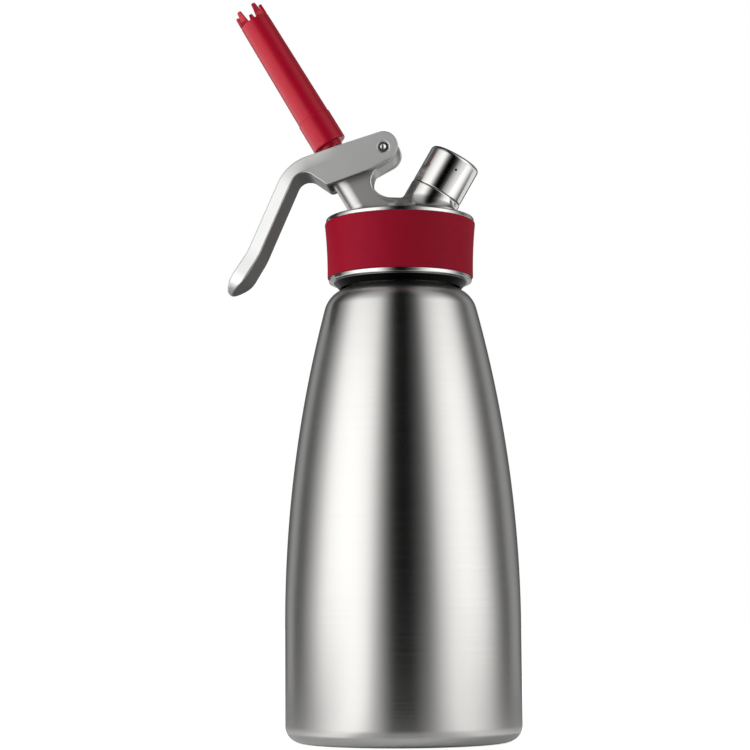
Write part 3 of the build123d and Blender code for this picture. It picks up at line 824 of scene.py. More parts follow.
def head_distance(x, y, z):
    """Distance from the head's casting above the skirt."""
    u, t = along_axis(VALVE_AXIS, x, z)
    a, b = along_axis(STUD_AXIS, x, z)
    from_axis = np.hypot(x, y)
    from_valve = np.hypot(u, y)
    from_stud = np.hypot(a, y)
    from_tower = np.hypot(u - np.clip(u, TOWER_BACK_U + TOWER_R, TOWER_FRONT_U - TOWER_R), y)
    disc = drum(from_axis, z, DISC_R, DISC_FOOT_Z, DISC_TOP_Z, DISC_EDGE_R)
    bevel = math.atan2(HEAD_TOP_Z - RIM_BEVEL_Z, RIM_FLANGE_R - RIM_BEVEL_R)
    over_bevel = (from_axis - RIM_BEVEL_R) * math.sin(bevel) + (z - HEAD_TOP_Z) * math.cos(bevel)
    flange = drum(from_axis, z, RIM_FLANGE_R, SLEEVE_TOP_Z, HEAD_TOP_Z, DISC_EDGE_R)
    rim = trimmed(flange, over_bevel, RIM_BEVEL_EDGE_R)
    stud = np.maximum(drum(from_stud, b, STUD_R, 0.0, STUD_SHOULDER_T, STUD_EDGE_R), STUD_CUT_Z - z)
    thread_root = drum(from_stud, b, STUD_ROOT_R, STUD_ROOT_FOOT_T, STUD_TOP_T, STUD_EDGE_R)
    tower = drum(from_tower, t, TOWER_R, TOWER_FOOT_T, TOWER_TOP_T, TOWER_EDGE_R)
    from_pivot = np.hypot(u - PIVOT_U, t - PIVOT_T)
    plate = np.minimum(outline_distance(PLATE_OUTLINE, x, z), from_pivot - ARM_EYE_R)
    in_saddle = np.interp(z, (WEB_TOP_Z, WEB_TOP_Z + SADDLE_FADE), (1.0, 0.0))
    in_saddle = np.interp(x, SADDLE_X, (0.0, 1.0)) * in_saddle
    edge = PLATE_EDGE_R + (SADDLE_EDGE_R - PLATE_EDGE_R) * in_saddle
    plate = trimmed(plate, np.abs(y) - TOWER_R, edge)
    blend_z = (WEB_TOP_Z - STUD_BLEND_FADE, WEB_TOP_Z)
    blend = np.interp(z, blend_z, (STUD_BLEND_R, STUD_BLEND_TOP_R))
    casting = joined(np.minimum(tower, plate), stud, blend)
    foot = np.interp(np.abs(y), FOOT_BLEND_Y, (RIM_BLEND_R, FOOT_BLEND_R))
    casting = joined(casting, np.minimum(disc, rim), foot)
    casting = np.minimum(casting, thread_root)
    bores = (
        common(from_valve - SPRING_BORE_R, GLAND_T - t),
        common(from_valve - STEM_BORE_R, t - GLAND_T - BORE_OVERLAP),
        common(from_valve - CHAMBER_R, t - CHAMBER_TOP_T),
        common(from_stud - SOCKET_R, SOCKET_FOOT_T - b),
        common(from_stud - PIN_BUSH_R, PIN_BUSH_T - b, b - SOCKET_FOOT_T - BORE_OVERLAP),
        common(from_stud - GAS_BORE_R, GAS_BORE_T - b, b - PIN_BUSH_T - BORE_OVERLAP),
        from_pivot - BUSH_R,
    )
    return trimmed(casting, -reduce(np.minimum, bores), BORE_EDGE_R)


def make_head_casting():
    """Rim, disc, valve tower with web and pivot arm, and charger stud, blended as one casting."""
    low, high = ((side, side, z) for side, z in zip((-RIM_FLANGE_R, RIM_FLANGE_R), CASTING_Z))
    points, faces, normals = skin(head_distance, low, high)
    made = piece("head_casting", points, faces, "head", "head_steel", normals)
    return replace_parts(made, "head_body")


def lever_outline():
    """Outline of the lever in X and Z, the line along its back, run on beyond the tip, and the
    tip's place and direction."""
    brow_x = PIVOT_X - LEVER_END_R * math.sin(LEVER_SLOPE)
    brow_z = PIVOT_Z + LEVER_END_RISE + LEVER_END_R * math.cos(LEVER_SLOPE)
    back = [(brow_x, brow_z, 0.0), LEVER_BEND, HANDLE_KNEE, HANDLE_SWELL]
    front = [HANDLE_TOE, HANDLE_KNEE_INNER, LEVER_CROOK, LEVER_HEEL, LEVER_BELLY, LEVER_CHIN]
    outline = rounded([*back, HANDLE_TIP, HANDLE_TIP_INNER, *front], LEVER_ARC_STEP)
    tip = np.array(HANDLE_TIP[:2])
    down = tip - np.array(HANDLE_KNEE[:2])
    down /= np.linalg.norm(down)
    beyond = (*(tip + BACK_RUN_ON * down), 0.0)
    back = rounded([*back, beyond], LEVER_ARC_STEP)
    return [tuple(point) for point in outline], [tuple(point) for point in back], tip, down


LEVER_OUTLINE, HANDLE_BACK, TIP_POINT, TIP_DOWN = lever_outline()


def lever_distance(x, y, z):
    """Distance from the lever: cheeks, slotted web and handle with drafted sides."""
    u, t = along_axis(VALVE_AXIS, x, z)
    from_pivot = np.hypot(x - PIVOT_X, z - PIVOT_Z)
    side = np.abs(y)
    from_end = np.hypot(x - PIVOT_X, z - PIVOT_Z - LEVER_END_RISE)
    plan = np.minimum(outline_distance(LEVER_OUTLINE, x, z), from_end - LEVER_END_R)
    depth = np.clip(path_distance(HANDLE_BACK, x, z), 0.0, HANDLE_THICK)
    share = np.clip((DRAFT_START_X - x) / (DRAFT_START_X - DRAFT_FULL_X), 0.0, 1.0)
    share = share * share * (3.0 - 2.0 * share)
    inset = share * HANDLE_DRAFT * (HANDLE_THICK - depth)
    lever = trimmed(plan, side - (LEVER_W / 2 - inset), LEVER_EDGE_R)
    past_tip = (x - TIP_POINT[0]) * TIP_DOWN[0] + (z - TIP_POINT[1]) * TIP_DOWN[1]
    beyond = past_tip + HANDLE_TIP_R
    outside = side - (LEVER_W / 2 - inset - HANDLE_TIP_R)
    rounding = np.hypot(np.maximum(beyond, 0), np.maximum(outside, 0)) - HANDLE_TIP_R
    tip = rounding + np.minimum(np.maximum(beyond, outside), 0)
    lever = trimmed(lever, tip, LEVER_EDGE_R)
    lean = VALVE_TILT - LEVER_SLOPE
    web_level = PIVOT_T + WEB_UNDERSIDE / math.cos(lean) + (PIVOT_U - u) * math.tan(lean)
    gap = side - LEVER_GAP / 2
    channel = common(gap, CHANNEL_U - u, (t - web_level) * math.cos(lean))
    fork = np.maximum(gap, FORK_U - u)
    slot = np.hypot(u - np.clip(u, 0.0, SLOT_RUN), y) - SLOT_R
    slot = np.maximum(slot, PIVOT_T - t)
    lever = trimmed(lever, -np.minimum(np.minimum(channel, fork), slot), CHANNEL_EDGE_R)
    countersink = (from_pivot - PIN_HEAD_R + LEVER_W / 2 - side) * math.sqrt(0.5)
    return trimmed(lever, -np.minimum(from_pivot - PIN_R, countersink), PIN_EDGE_R)


def make_lever():
    """Cast lever with soft edges."""
    left, foot = HANDLE_TIP[0] - LEVER_BOX_MARGIN, HANDLE_TIP_INNER[1] - LEVER_BOX_MARGIN
    right, top = PIVOT_X + LEVER_END_R, PIVOT_Z + LEVER_END_R + LEVER_BOX_RISE
    low, high = (left, -LEVER_W / 2, foot), (right, LEVER_W / 2, top)
    points, faces, normals = skin(lever_distance, low, high)
    made = piece("lever_casting", points, faces, "lever_group", "lever_steel", normals)
    # faces turned inwards, towards the handle's back, get a mask for painted shade and extra roughness
    inwards = slope(lambda x, y, z: path_distance(HANDLE_BACK, x, z), points)
    facing_in = np.interp((normals * inwards).sum(axis=1), SHADED_INSIDE_FACING, (0.0, 1.0))
    dull_and_shaded_inside = facing_in * np.interp(points[:, 0], SHADED_INSIDE_X, (1.0, 0.0))
    made.data.attributes.new("dull_and_shaded_inside", "FLOAT", "POINT").data.foreach_set("value", dull_and_shaded_inside)
    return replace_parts(made, "lever")


def grown(name, tree, values, base=None):
    """Plain mesh that a Geometry Nodes tree makes with the given values for its named inputs."""
    holder = bpy.data.objects.new(name, base or bpy.data.meshes.new(name))
    bpy.context.scene.collection.objects.link(holder)
    modifier = holder.modifiers.new(name, "NODES")
    modifier.node_group = tree
    for item in tree.interface.items_tree:
        if item.in_out == "INPUT" and item.name in values:
            modifier[item.identifier] = values[item.name]
    graph = bpy.context.evaluated_depsgraph_get()
    mesh = bpy.data.meshes.new_from_object(holder.evaluated_get(graph), depsgraph=graph)
    holder.modifiers.clear()
    bpy.data.objects.remove(holder)
    return mesh


def new_tree(name, inputs):
    """Empty Geometry Nodes tree with named inputs, a material last, and one geometry output."""
    tree = bpy.data.node_groups.new(name, "GeometryNodeTree")
    for label, kind in (inputs | {"Material": "Material"}).items():
        tree.interface.new_socket(label, in_out="INPUT", socket_type="NodeSocket" + kind)
    tree.interface.new_socket("Geometry", in_out="OUTPUT", socket_type="NodeSocketGeometry")
    return tree, node(tree, "NodeGroupInput").outputs


def handed_out(tree, geometry, material):
    """Ends a tree: its geometry made real, in a material."""
    real = node(tree, "GeometryNodeRealizeInstances", {"Geometry": geometry}).outputs["Geometry"]
    coloured = node(tree, "GeometryNodeSetMaterial", {"Geometry": real, "Material": material})
    node(tree, "NodeGroupOutput", {"Geometry": coloured.outputs["Geometry"]})
    return tree


def screw_thread_tree():
    """Ridge of a screw thread: a trapezium swept up a helix, thinned out at both ends."""
    sizes = ("Radius", "Pitch", "Turns", "Depth", "Root Width", "Crest Width", "Run Out")
    tree, given = new_tree("screw_thread", dict.fromkeys(sizes, "Float"))
    factors = {0: given["Pitch"], 1: given["Turns"]}
    rise = node(tree, "ShaderNodeMath", factors, operation="MULTIPLY").outputs[0]
    ends = {"Start Radius": given["Radius"], "End Radius": given["Radius"], "Height": rise}
    winding = {"Resolution": 96, "Rotations": given["Turns"], "Reverse": True}
    helix = node(tree, "GeometryNodeCurveSpiral", ends | winding).outputs["Curve"]
    steady = node(tree, "GeometryNodeSetCurveNormal", {"Curve": helix}, mode="Z_UP").outputs["Curve"]
    along = node(tree, "GeometryNodeSplineParameter").outputs["Factor"]
    from_end = node(tree, "ShaderNodeMath", {0: 1.0, 1: along}, operation="SUBTRACT").outputs[0]
    nearest = node(tree, "ShaderNodeMath", {0: along, 1: from_end}, operation="MINIMUM").outputs[0]
    run_out = {"Value": nearest, "From Max": given["Run Out"], "To Min": 0.05, "To Max": 1.0}
    fade = node(tree, "ShaderNodeMapRange", run_out).outputs["Result"]
    faded = node(tree, "GeometryNodeSetCurveRadius", {"Curve": steady, "Radius": fade}).outputs["Curve"]
    widths = {"Bottom Width": given["Root Width"], "Top Width": given["Crest Width"], "Offset": 0.0}
    sides = widths | {"Height": given["Depth"]}
    section = node(tree, "GeometryNodeCurvePrimitiveQuadrilateral", sides, mode="TRAPEZOID")
    crest_out = {"Geometry": section.outputs["Curve"], "Rotation": (0.0, 0.0, -math.pi / 2)}
    outwards = node(tree, "GeometryNodeTransform", crest_out).outputs["Geometry"]
    sweep = {"Curve": faded, "Profile Curve": outwards, "Scale": fade, "Fill Caps": True}
    ridge = node(tree, "GeometryNodeCurveToMesh", sweep).outputs["Mesh"]
    return handed_out(tree, ridge, given["Material"])


def spring_tree():
    """Round wire wound up a helix and closed at both ends."""
    sizes = ("Radius", "Height", "Turns", "Wire Radius")
    tree, given = new_tree("wound_spring", dict.fromkeys(sizes, "Float"))
    ends = {"Start Radius": given["Radius"], "End Radius": given["Radius"], "Height": given["Height"]}
    winding = {"Resolution": 48, "Rotations": given["Turns"], "Reverse": True}
    helix = node(tree, "GeometryNodeCurveSpiral", ends | winding).outputs["Curve"]
    ring = {"Resolution": 20, "Radius": given["Wire Radius"]}
    section = node(tree, "GeometryNodeCurvePrimitiveCircle", ring).outputs["Curve"]
    sweep = {"Curve": helix, "Profile Curve": section, "Fill Caps": True}
    wire = node(tree, "GeometryNodeCurveToMesh", sweep).outputs["Mesh"]
    return handed_out(tree, wire, given["Material"])


def crown_tree():
    """Ring of equal sectors round an axis, merged where they meet."""
    tree, given = new_tree("nozzle_crown", {"Sector": "Geometry", "Sectors": "Int"})
    count = given["Sectors"]
    line = {"Count": count, "Offset": (0.0, 0.0, 0.0)}
    stations = node(tree, "GeometryNodeMeshLine", line).outputs["Mesh"]
    index = node(tree, "GeometryNodeInputIndex").outputs["Index"]
    share = node(tree, "ShaderNodeMath", {0: index, 1: count}, operation="DIVIDE").outputs[0]
    angle = node(tree, "ShaderNodeMath", {0: share, 1: 2 * math.pi}, operation="MULTIPLY").outputs[0]
    turn = node(tree, "ShaderNodeCombineXYZ", {"Z": angle}).outputs["Vector"]
    spread = {"Points": stations, "Instance": given["Sector"], "Rotation": turn}
    copies = node(tree, "GeometryNodeInstanceOnPoints", spread).outputs["Instances"]
    real = node(tree, "GeometryNodeRealizeInstances", {"Geometry": copies}).outputs["Geometry"]
    merged = node(tree, "GeometryNodeMergeByDistance", {"Geometry": real, "Distance": 0.002})
    return handed_out(tree, merged.outputs["Geometry"], given["Material"])


def stood(name, mesh, foot, axis, body, slot):
    """Piece from a grown mesh, stood at a height on its axis."""
    points, faces = parts_of(mesh)
    return piece(name, placed(axis, points + (0.0, 0.0, foot)), faces, body, slot)


def settled(made):
    """Turns a piece's modifiers into its plain mesh."""
    graph = bpy.context.evaluated_depsgraph_get()
    mesh = bpy.data.meshes.new_from_object(made.evaluated_get(graph), depsgraph=graph)
    mesh.name = made.name
    made.modifiers.clear()
    made.data = mesh
    return made


def make_valve_spring():
    """Return spring of the valve, made at its rest length; the real one closes up as the lever presses
    the stem down.
    """
    height = SPRING_TOP_T - SPRING_FOOT_T
    values = {"Radius": SPRING_R, "Height": height, "Turns": SPRING_TURNS, "Wire Radius": SPRING_WIRE_R}
    mesh = grown("spring_wire", spring_tree(), values | {"Material": finishes["spring_steel"]})
    made = stood("spring_coil", mesh, SPRING_FOOT_T, VALVE_AXIS, "head", "spring_steel")
    made.data.set_sharp_from_angle(angle=SHARP_ANGLE)
    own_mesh(made)
    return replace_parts(made, "valve_spring")


def make_thread(tree, name, radius, depth, pitch, turns, foot, axis, body, slot):
    """Helical thread ridge whose crest reaches a radius, standing on the core below it."""
    values = {
        "Radius": radius - depth / 2,
        "Pitch": pitch,
        "Turns": turns,
        "Depth": depth,
        "Root Width": pitch * THREAD_ROOT_SHARE,
        "Crest Width": pitch * THREAD_CREST_SHARE,
        "Run Out": THREAD_RUN_OUT / turns,
        "Material": finishes[slot],
    }
    made = stood(name, grown(name, tree, values), foot, axis, body, slot)
    made.data.set_sharp_from_angle(angle=THREAD_SHARP_ANGLE)
    return made


def make_threads():
    """Threads that hold head and cap, on the bottle's neck and on the stud."""
    tree = screw_thread_tree()
    size = (NECK_THREAD_R, NECK_THREAD_DEPTH, NECK_THREAD_PITCH, NECK_THREAD_TURNS, NECK_THREAD_FOOT_Z)
    make_thread(tree, "neck_thread", *size, UPRIGHT, "bottle_body", "bottle_steel")
    size = (STUD_THREAD_R, STUD_THREAD_DEPTH, STUD_THREAD_PITCH, STUD_THREAD_TURNS, STUD_THREAD_FOOT_T)
    make_thread(tree, "stud_thread", *size, STUD_AXIS, "head", "head_steel")


def nozzle_sector():
    """One fifth of the nozzle, with its tooth in the middle, as a mesh in U, Y and T."""
    notch_t = NOZZLE_TIP_T - NOZZLE_TOOTH_H
    lean = (NOZZLE_TIP_R - NOZZLE_STEP_R) / (NOZZLE_TIP_T - NOZZLE_STEP_T)

    def outer_r(t):
        return NOZZLE_STEP_R + lean * (t - NOZZLE_STEP_T)

    def inner_r(t):
        run = (t - NOZZLE_CAVITY_T) / (NOZZLE_TAPER_END_T - NOZZLE_CAVITY_T)
        return NOZZLE_CAVITY_R + (NOZZLE_TIP_R - NOZZLE_WALL - NOZZLE_CAVITY_R) * run

    body = rounded(
        [
            (NOZZLE_SOCKET_R, NOZZLE_NECK_T, 0.2),
            (NOZZLE_NECK_R, NOZZLE_NECK_T, 0.35),
            (NOZZLE_NECK_R, NOZZLE_FOOT_T, 0.3),
            (NOZZLE_COLLAR_R, NOZZLE_FOOT_T, 0.5),
            (NOZZLE_COLLAR_R, NOZZLE_STEP_T, 0.35),
            (outer_r(NOZZLE_STEP_T), NOZZLE_STEP_T, 0.0),
            (outer_r(notch_t), notch_t, 0.0),
            (inner_r(notch_t), notch_t, 0.0),
            (NOZZLE_CAVITY_R, NOZZLE_CAVITY_T, 1.0),
            (NOZZLE_HOLE_R, NOZZLE_HOLE_T, 0.4),
            (NOZZLE_HOLE_R, NOZZLE_SOCKET_T, 0.0),
            (NOZZLE_SOCKET_R, NOZZLE_SOCKET_T, 0.0),
        ],
        NOZZLE_ARC_STEP,
    )
    body = [tuple(point) for point in supported(body)]
    top = body.index((inner_r(notch_t), notch_t))
    half_pitch = math.pi / NOZZLE_TEETH
    foot_half = half_pitch - NOZZLE_NOTCH_FOOT / 2
    tip_half = half_pitch - NOZZLE_NOTCH_MOUTH / 2
    notch = np.linspace(foot_half, half_pitch, NOTCH_COLUMNS + 1)
    across = np.linspace(-foot_half, foot_half, TOOTH_COLUMNS + 1)
    angles = np.concatenate((-notch[:0:-1], across, notch[1:]))
    points = []
    faces = []

    def row(radius, t, spread):
        start = len(points)
        points.extend((radius * math.cos(a), radius * math.sin(a), t) for a in spread)
        return list(range(start, start + len(spread)))

    def strip(lower, upper):
        for k in range(len(lower) - 1):
            faces.append((lower[k], lower[k + 1], upper[k + 1], upper[k]))

    rows = [row(radius, t, angles) for radius, t in body]
    for index, lower in enumerate(rows):
        upper = rows[(index + 1) % len(rows)]
        if index == top - 1:
            strip(lower[: NOTCH_COLUMNS + 1], upper[: NOTCH_COLUMNS + 1])
            strip(lower[-NOTCH_COLUMNS - 1 :], upper[-NOTCH_COLUMNS - 1 :])
        else:
            strip(lower, upper)
    tooth = slice(NOTCH_COLUMNS, NOTCH_COLUMNS + TOOTH_COLUMNS + 1)
    outer_rows, inner_rows = [rows[top - 1][tooth]], [rows[top][tooth]]
    for share in np.linspace(0.0, 1.0, TOOTH_ROWS + 1)[1:]:
        t = notch_t + share * NOZZLE_TOOTH_H
        half = foot_half + share * (tip_half - foot_half)
        spread = np.linspace(-half, half, TOOTH_COLUMNS + 1)
        outer_rows.append(row(outer_r(t), t, spread))
        inner_rows.append(row(inner_r(t), t, spread))
    for index in range(len(outer_rows) - 1):
        strip(outer_rows[index], outer_rows[index + 1])
        strip(inner_rows[index + 1], inner_rows[index])
        for edge, outward in ((0, True), (-1, False)):
            outer = outer_rows[index][edge], outer_rows[index + 1][edge]
            inner = inner_rows[index + 1][edge], inner_rows[index][edge]
            faces.append(outer + inner if outward else (outer + inner)[::-1])
    strip(outer_rows[-1], inner_rows[-1])
    mesh = bpy.data.meshes.new("nozzle_sector")
    mesh.from_pydata(points, [], faces)
    return mesh


def make_nozzle():
    """Decorating nozzle: five equal sectors, with the edges of the crown slightly rounded."""
    values = {"Sectors": NOZZLE_TEETH, "Material": finishes["nozzle_plastic"]}
    mesh = grown("nozzle_crown", crown_tree(), values, nozzle_sector())
    points, faces = parts_of(mesh)
    points = placed(VALVE_AXIS, swung(points, NOZZLE_TOOTH_TURN - math.pi / 2))
    made = piece("nozzle_tube", points, faces, "nozzle_body", "nozzle_plastic")
    bevel = made.modifiers.new("crown_edges", "BEVEL")
    bevel.width = CROWN_EDGE_R * MM
    bevel.segments = 2
    bevel.limit_method = "ANGLE"
    bevel.angle_limit = SHARP_ANGLE
    bevel.harden_normals = True
    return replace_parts(settled(made), "nozzle")


def make_charger_cap():
    """Cap over the charger stud, with its small vent hole drilled through the side."""
    outline = rounded(
        [
            (CAP_BORE_R, CAP_FOOT_T, 0.3),
            (CAP_R, CAP_FOOT_T, 0.35),
            (CAP_R, CAP_TOP_T, CAP_EDGE_R),
            (0.0, CAP_TOP_T, 0.0),
            (0.0, CAP_TOP_T - CAP_ROOF, 0.0),
            (CAP_BORE_R, CAP_TOP_T - CAP_ROOF, 0.6),
        ]
    )
    points, faces = turned(supported(outline), CAP_SEGMENTS)
    made = piece("charger_cap_shell", placed(STUD_AXIS, points), faces, "cap_body", "cap_steel")
    low, high = -VENT_DRILL_REACH, VENT_DRILL_REACH
    drill_outline = [(0.0, low), (CAP_VENT_R, low), (CAP_VENT_R, high), (0.0, high)]
    points, faces = turned(drill_outline, DRILL_SEGMENTS)
    u, v, w = np.asarray(points).T
    points = swung(np.stack((u, w - CAP_R, CAP_TOP_T - CAP_VENT_DROP + v), axis=1), CAP_VENT_TURN)
    drill = piece("vent_drill", placed(STUD_AXIS, points), faces, "cap_body", "cap_steel")
    cut = made.modifiers.new("vent", "BOOLEAN")
    cut.operation = "DIFFERENCE"
    cut.object = drill
    settled(made)
    bpy.data.objects.remove(drill)
    made.data.set_sharp_from_angle(angle=SHARP_ANGLE)
    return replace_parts(made, "charger_cap")


make_bottle()
make_grip_sleeve()
make_head_skirt()
make_head_casting()
make_lever()
make_nozzle()
make_charger_cap()
make_valve_spring()
make_threads()

# Studio: azimuths are degrees to the right of the camera, seen from the bottle
CAMERA_AZIMUTH = math.radians(4.4)
CAMERA_DISTANCE = 755.0
CAMERA_Z = 46.4
CAMERA_TILT = math.radians(6.727)
CAMERA_YAW = math.radians(-0.741)
CAMERA_ROLL = math.radians(-0.371)
FOCAL_PIXELS = 2030.0
PICTURE_PIXELS = 750.0
SENSOR_MM = 36.0
WALL_R = 3000.0

# Light on the tent's wall by azimuth, and how it changes with the height
TENT_GLOW = (
    (-180, 0.05), (-155, 0.12), (-140, 0.4), (-131, 0.34), (-124, 0.14), (-116, 0.12), (-108, 0.24),
    (-100, 0.48), (-91, 0.85), (-83, 1.3), (-75, 1.6), (-60, 1.75), (-46, 1.7), (-36, 1.5),
    (-30, 1.15), (-24, 0.68), (-18, 0.28), (-12, 0.06), (-6, 0.0), (6, 0.0), (12, 0.03), (18, 0.09),
    (24, 0.2), (30, 0.45), (36, 0.85), (48, 1.38), (62, 1.62), (75, 1.5), (83, 1.28), (91, 0.92),
    (100, 0.46), (109, 0.19), (117, 0.13), (124, 0.28), (131, 0.39), (140, 0.36), (155, 0.12),
    (180, 0.05),
)
TENT_RISE = ((0, 1.0), (1600, 1.0), (2300, 0.75), (2900, 0.45), (4450, 0.3), (9000, 0.2))
ROOF_GLOW = 0.1
FENCE_R = 450.0
FENCE_Z = (1.0, 75.0)

# Light on the carpet by azimuth, in three rings, and the radii of each ring
CARPET_GLOW = (
    (-180, 0.25, 0.5, 0.95),
    (-150, 0.25, 0.6, 1.1),
    (-120, 0.25, 1.8, 1.6),
    (-95, 0.35, 2.0, 1.9),
    (-70, 0.55, 2.0, 2.0),
    (-58, 0.9, 1.6, 1.7),
    (-45, 1.45, 1.4, 1.5),
    (-34, 1.4, 1.0, 1.0),
    (-25, 0.55, 0.45, 0.5),
    (-8, 0.05, 0.05, 0.05),
    (8, 0.05, 0.05, 0.05),
    (25, 0.4, 0.4, 0.4),
    (45, 1.0, 1.0, 1.0),
    (70, 0.6, 1.15, 1.15),
    (95, 0.3, 1.1, 1.15),
    (120, 0.25, 1.0, 1.1),
    (150, 0.25, 0.6, 1.0),
    (180, 0.25, 0.5, 0.95),
)
CARPET_RINGS = ((130, 430), (460, 850), (1250, 3000))
CARPET_Z = 0.5
CARPET_START_R = 46.0
CARPET_START_GLOW = 0.35
CARPET_START_SHARE = 0.5

STUDIO_FLOOR_HALF = 6000.0
STUDIO_FLOOR_Z = -0.2
LAMP_DISTANCE = 1500.0
LAMP_Z = 700.0
LAMP_SIZE = 1000.0
LAMP_AIM_Z = 140.0
FILL_LIGHT = 0.2


def heading(azimuth):
    """Direction on the floor at an azimuth in radians from the camera's side."""
    return np.array((math.sin(azimuth + CAMERA_AZIMUTH), -math.cos(azimuth + CAMERA_AZIMUTH), 0.0))


def make_camera():
    """Camera low in front of the bottle, tilted up a little, as the picture was taken."""
    forward = -heading(0.0)
    right = np.array((math.cos(CAMERA_AZIMUTH), math.sin(CAMERA_AZIMUTH), 0.0))
    up = np.array((0.0, 0.0, 1.0))
    ahead, aside = swing(forward, right, CAMERA_YAW)
    look, rise = swing(ahead, up, CAMERA_TILT)
    level, plumb = swing(aside, rise, CAMERA_ROLL)
    spot = (CAMERA_DISTANCE * heading(0.0) + (0.0, 0.0, CAMERA_Z)) * MM
    lens = bpy.data.cameras.new("camera")
    lens.sensor_width = SENSOR_MM
    lens.lens = FOCAL_PIXELS / PICTURE_PIXELS * SENSOR_MM
    lens.clip_start = 0.01
    camera = bpy.data.objects.new("camera", lens)
    axes = np.eye(4)
    axes[:3, 0], axes[:3, 1], axes[:3, 2], axes[:3, 3] = level, plumb, -look, spot
    camera.matrix_world = Matrix(axes.tolist())
    bpy.context.scene.collection.objects.link(camera)
    bpy.context.scene.camera = camera


def stage_sheet(name, points, faces, material):
    """Studio surface that isn't part of the whipper."""
    mesh = bpy.data.meshes.new(name)
    mesh.from_pydata((np.asarray(points, float) * MM).tolist(), [], faces)
    mesh.materials.append(material)
    made = bpy.data.objects.new(name, mesh)
    bpy.context.scene.collection.objects.link(made)
    return made


def only_in_reflections(made):
    """Leaves a studio surface for polished metal to mirror, and for nothing else."""
    made.visible_camera = False
    made.visible_diffuse = False
    made.visible_shadow = False
    made.visible_volume_scatter = False


def make_floor():
    """Plain white floor that keeps the bottle's shadow and turns fully white farther out."""
    material, tree = blank("white_floor")
    seen = node(tree, "ShaderNodeLightPath").outputs["Is Camera Ray"]
    place = node(tree, "ShaderNodeTexCoord").outputs["Object"]
    reach = node(tree, "ShaderNodeVectorMath", {0: place}, operation="LENGTH").outputs["Value"]
    farther = {"Value": reach, "From Min": 0.3, "From Max": 0.8, "To Min": 0.8, "To Max": 1.0}
    whiter = node(tree, "ShaderNodeMapRange", farther).outputs["Result"]
    lift = node(tree, "ShaderNodeMath", {0: seen, 1: whiter}, operation="MULTIPLY").outputs[0]
    matt = node(tree, "ShaderNodeBsdfDiffuse", {"Color": linear("#F2F2F2")})
    glow = node(tree, "ShaderNodeEmission", {"Color": linear("#FFFFFF"), "Strength": lift})
    both = node(tree, "ShaderNodeAddShader", {0: matt.outputs["BSDF"], 1: glow.outputs["Emission"]})
    node(tree, "ShaderNodeOutputMaterial", {"Surface": both.outputs["Shader"]})
    half, z = STUDIO_FLOOR_HALF, STUDIO_FLOOR_Z
    corners = [(-half, -half, z), (half, -half, z), (half, half, z), (-half, half, z)]
    stage_sheet("floor", corners, [(0, 1, 2, 3)], material)


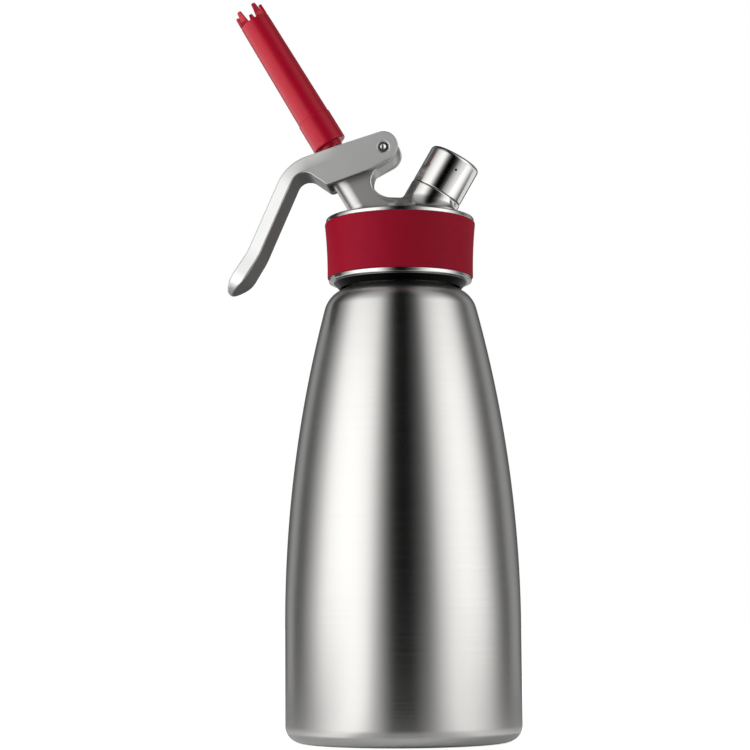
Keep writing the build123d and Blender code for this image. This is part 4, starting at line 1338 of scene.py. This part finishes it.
def make_tent():
    """Light tent that only polished metal mirrors: soft white walls left and right, a black gap
    for the camera, and black and grey wings behind, which give the steel its dark edges. It runs
    on over the floor as a carpet, which stops short of the bottle's foot, and a low fence keeps
    the far carpet, which lights the head, out of the foot's edges."""
    material, tree = blank("light_tent")
    glow = node(tree, "ShaderNodeAttribute", attribute_name="glow").outputs["Fac"]
    cloth = node(tree, "ShaderNodeEmission", {"Color": linear("#FFFFFF"), "Strength": glow})
    node(tree, "ShaderNodeOutputMaterial", {"Surface": cloth.outputs["Emission"]})
    angles = np.arange(-180, 180)
    levels = np.interp(angles, *zip(*TENT_GLOW))
    around = np.stack([heading(math.radians(angle)) for angle in angles])
    count = len(angles)
    up = np.array((0.0, 0.0, 1.0))
    wall = [(around * WALL_R + up * rise, levels * share) for rise, share in TENT_RISE]
    roof = [wall[-1], (around + up * TENT_RISE[-1][0], np.full(count, ROOF_GLOW))]
    fence = [(around * FENCE_R + up * rise, levels) for rise in FENCE_Z]
    turns, *strips = zip(*CARPET_GLOW)
    strips = [np.interp(angles, turns, strip) for strip in strips]
    start_glow = CARPET_START_GLOW + CARPET_START_SHARE * strips[0]
    carpet = [(around * CARPET_START_R + up * CARPET_Z, start_glow)]
    for strip, reaches in zip(strips, CARPET_RINGS):
        carpet += [(around * reach + up * CARPET_Z, strip) for reach in reaches]
    sheets = (("tent_wall", wall), ("tent_roof", roof), ("tent_fence", fence), ("tent_carpet", carpet))
    for name, rings in sheets:
        faces = [
            (k + row, k + row + count, (k + 1) % count + row + count, (k + 1) % count + row)
            for row in range(0, count * (len(rings) - 1), count)
            for k in range(count)
        ]
        sheet = stage_sheet(name, np.concatenate([ring for ring, _ in rings]), faces, material)
        glow_of = sheet.data.attributes.new("glow", "FLOAT", "POINT").data
        glow_of.foreach_set("value", np.concatenate([shine for _, shine in rings]))
        only_in_reflections(sheet)


def make_lamp(name, azimuth, watts):
    """Large soft lamp that faces the head of the bottle."""
    light = bpy.data.lights.new(name, "AREA")
    light.shape = "SQUARE"
    light.size = LAMP_SIZE * MM
    light.energy = watts
    lamp = bpy.data.objects.new(name, light)
    spot = heading(math.radians(azimuth)) * LAMP_DISTANCE + (0.0, 0.0, LAMP_Z)
    look = np.array((0.0, 0.0, LAMP_AIM_Z)) - spot
    lamp.location = (spot * MM).tolist()
    lamp.rotation_mode = "QUATERNION"
    lamp.rotation_quaternion = Vector(look.tolist()).to_track_quat("-Z", "Y")
    lamp.visible_glossy = False
    lamp.visible_camera = False
    bpy.context.scene.collection.objects.link(lamp)


def make_world():
    """White to the camera and in reflections, and a plain grey fill for everything else."""
    world = bpy.data.worlds.new("studio")
    world.use_nodes = True
    bpy.context.scene.world = world
    tree = world.node_tree
    tree.nodes.clear()
    path = node(tree, "ShaderNodeLightPath").outputs
    white = path["Is Camera Ray"]
    for ray in ("Is Glossy Ray", "Is Transmission Ray"):
        white = node(tree, "ShaderNodeMath", {0: white, 1: path[ray]}, operation="MAXIMUM").outputs[0]
    fill, backdrop = (
        node(tree, "ShaderNodeBackground", {"Color": linear("#FFFFFF"), "Strength": level})
        for level in (FILL_LIGHT, 1.0)
    )
    choice = {0: white, 1: fill.outputs["Background"], 2: backdrop.outputs["Background"]}
    chosen = node(tree, "ShaderNodeMixShader", choice)
    node(tree, "ShaderNodeOutputWorld", {"Surface": chosen.outputs["Shader"]})


make_camera()
make_floor()
make_tent()
make_lamp("key_left", azimuth=-68.0, watts=17.0)
make_lamp("fill_right", azimuth=75.0, watts=8.5)
make_world()
bpy.context.scene.view_settings.view_transform = "Standard"
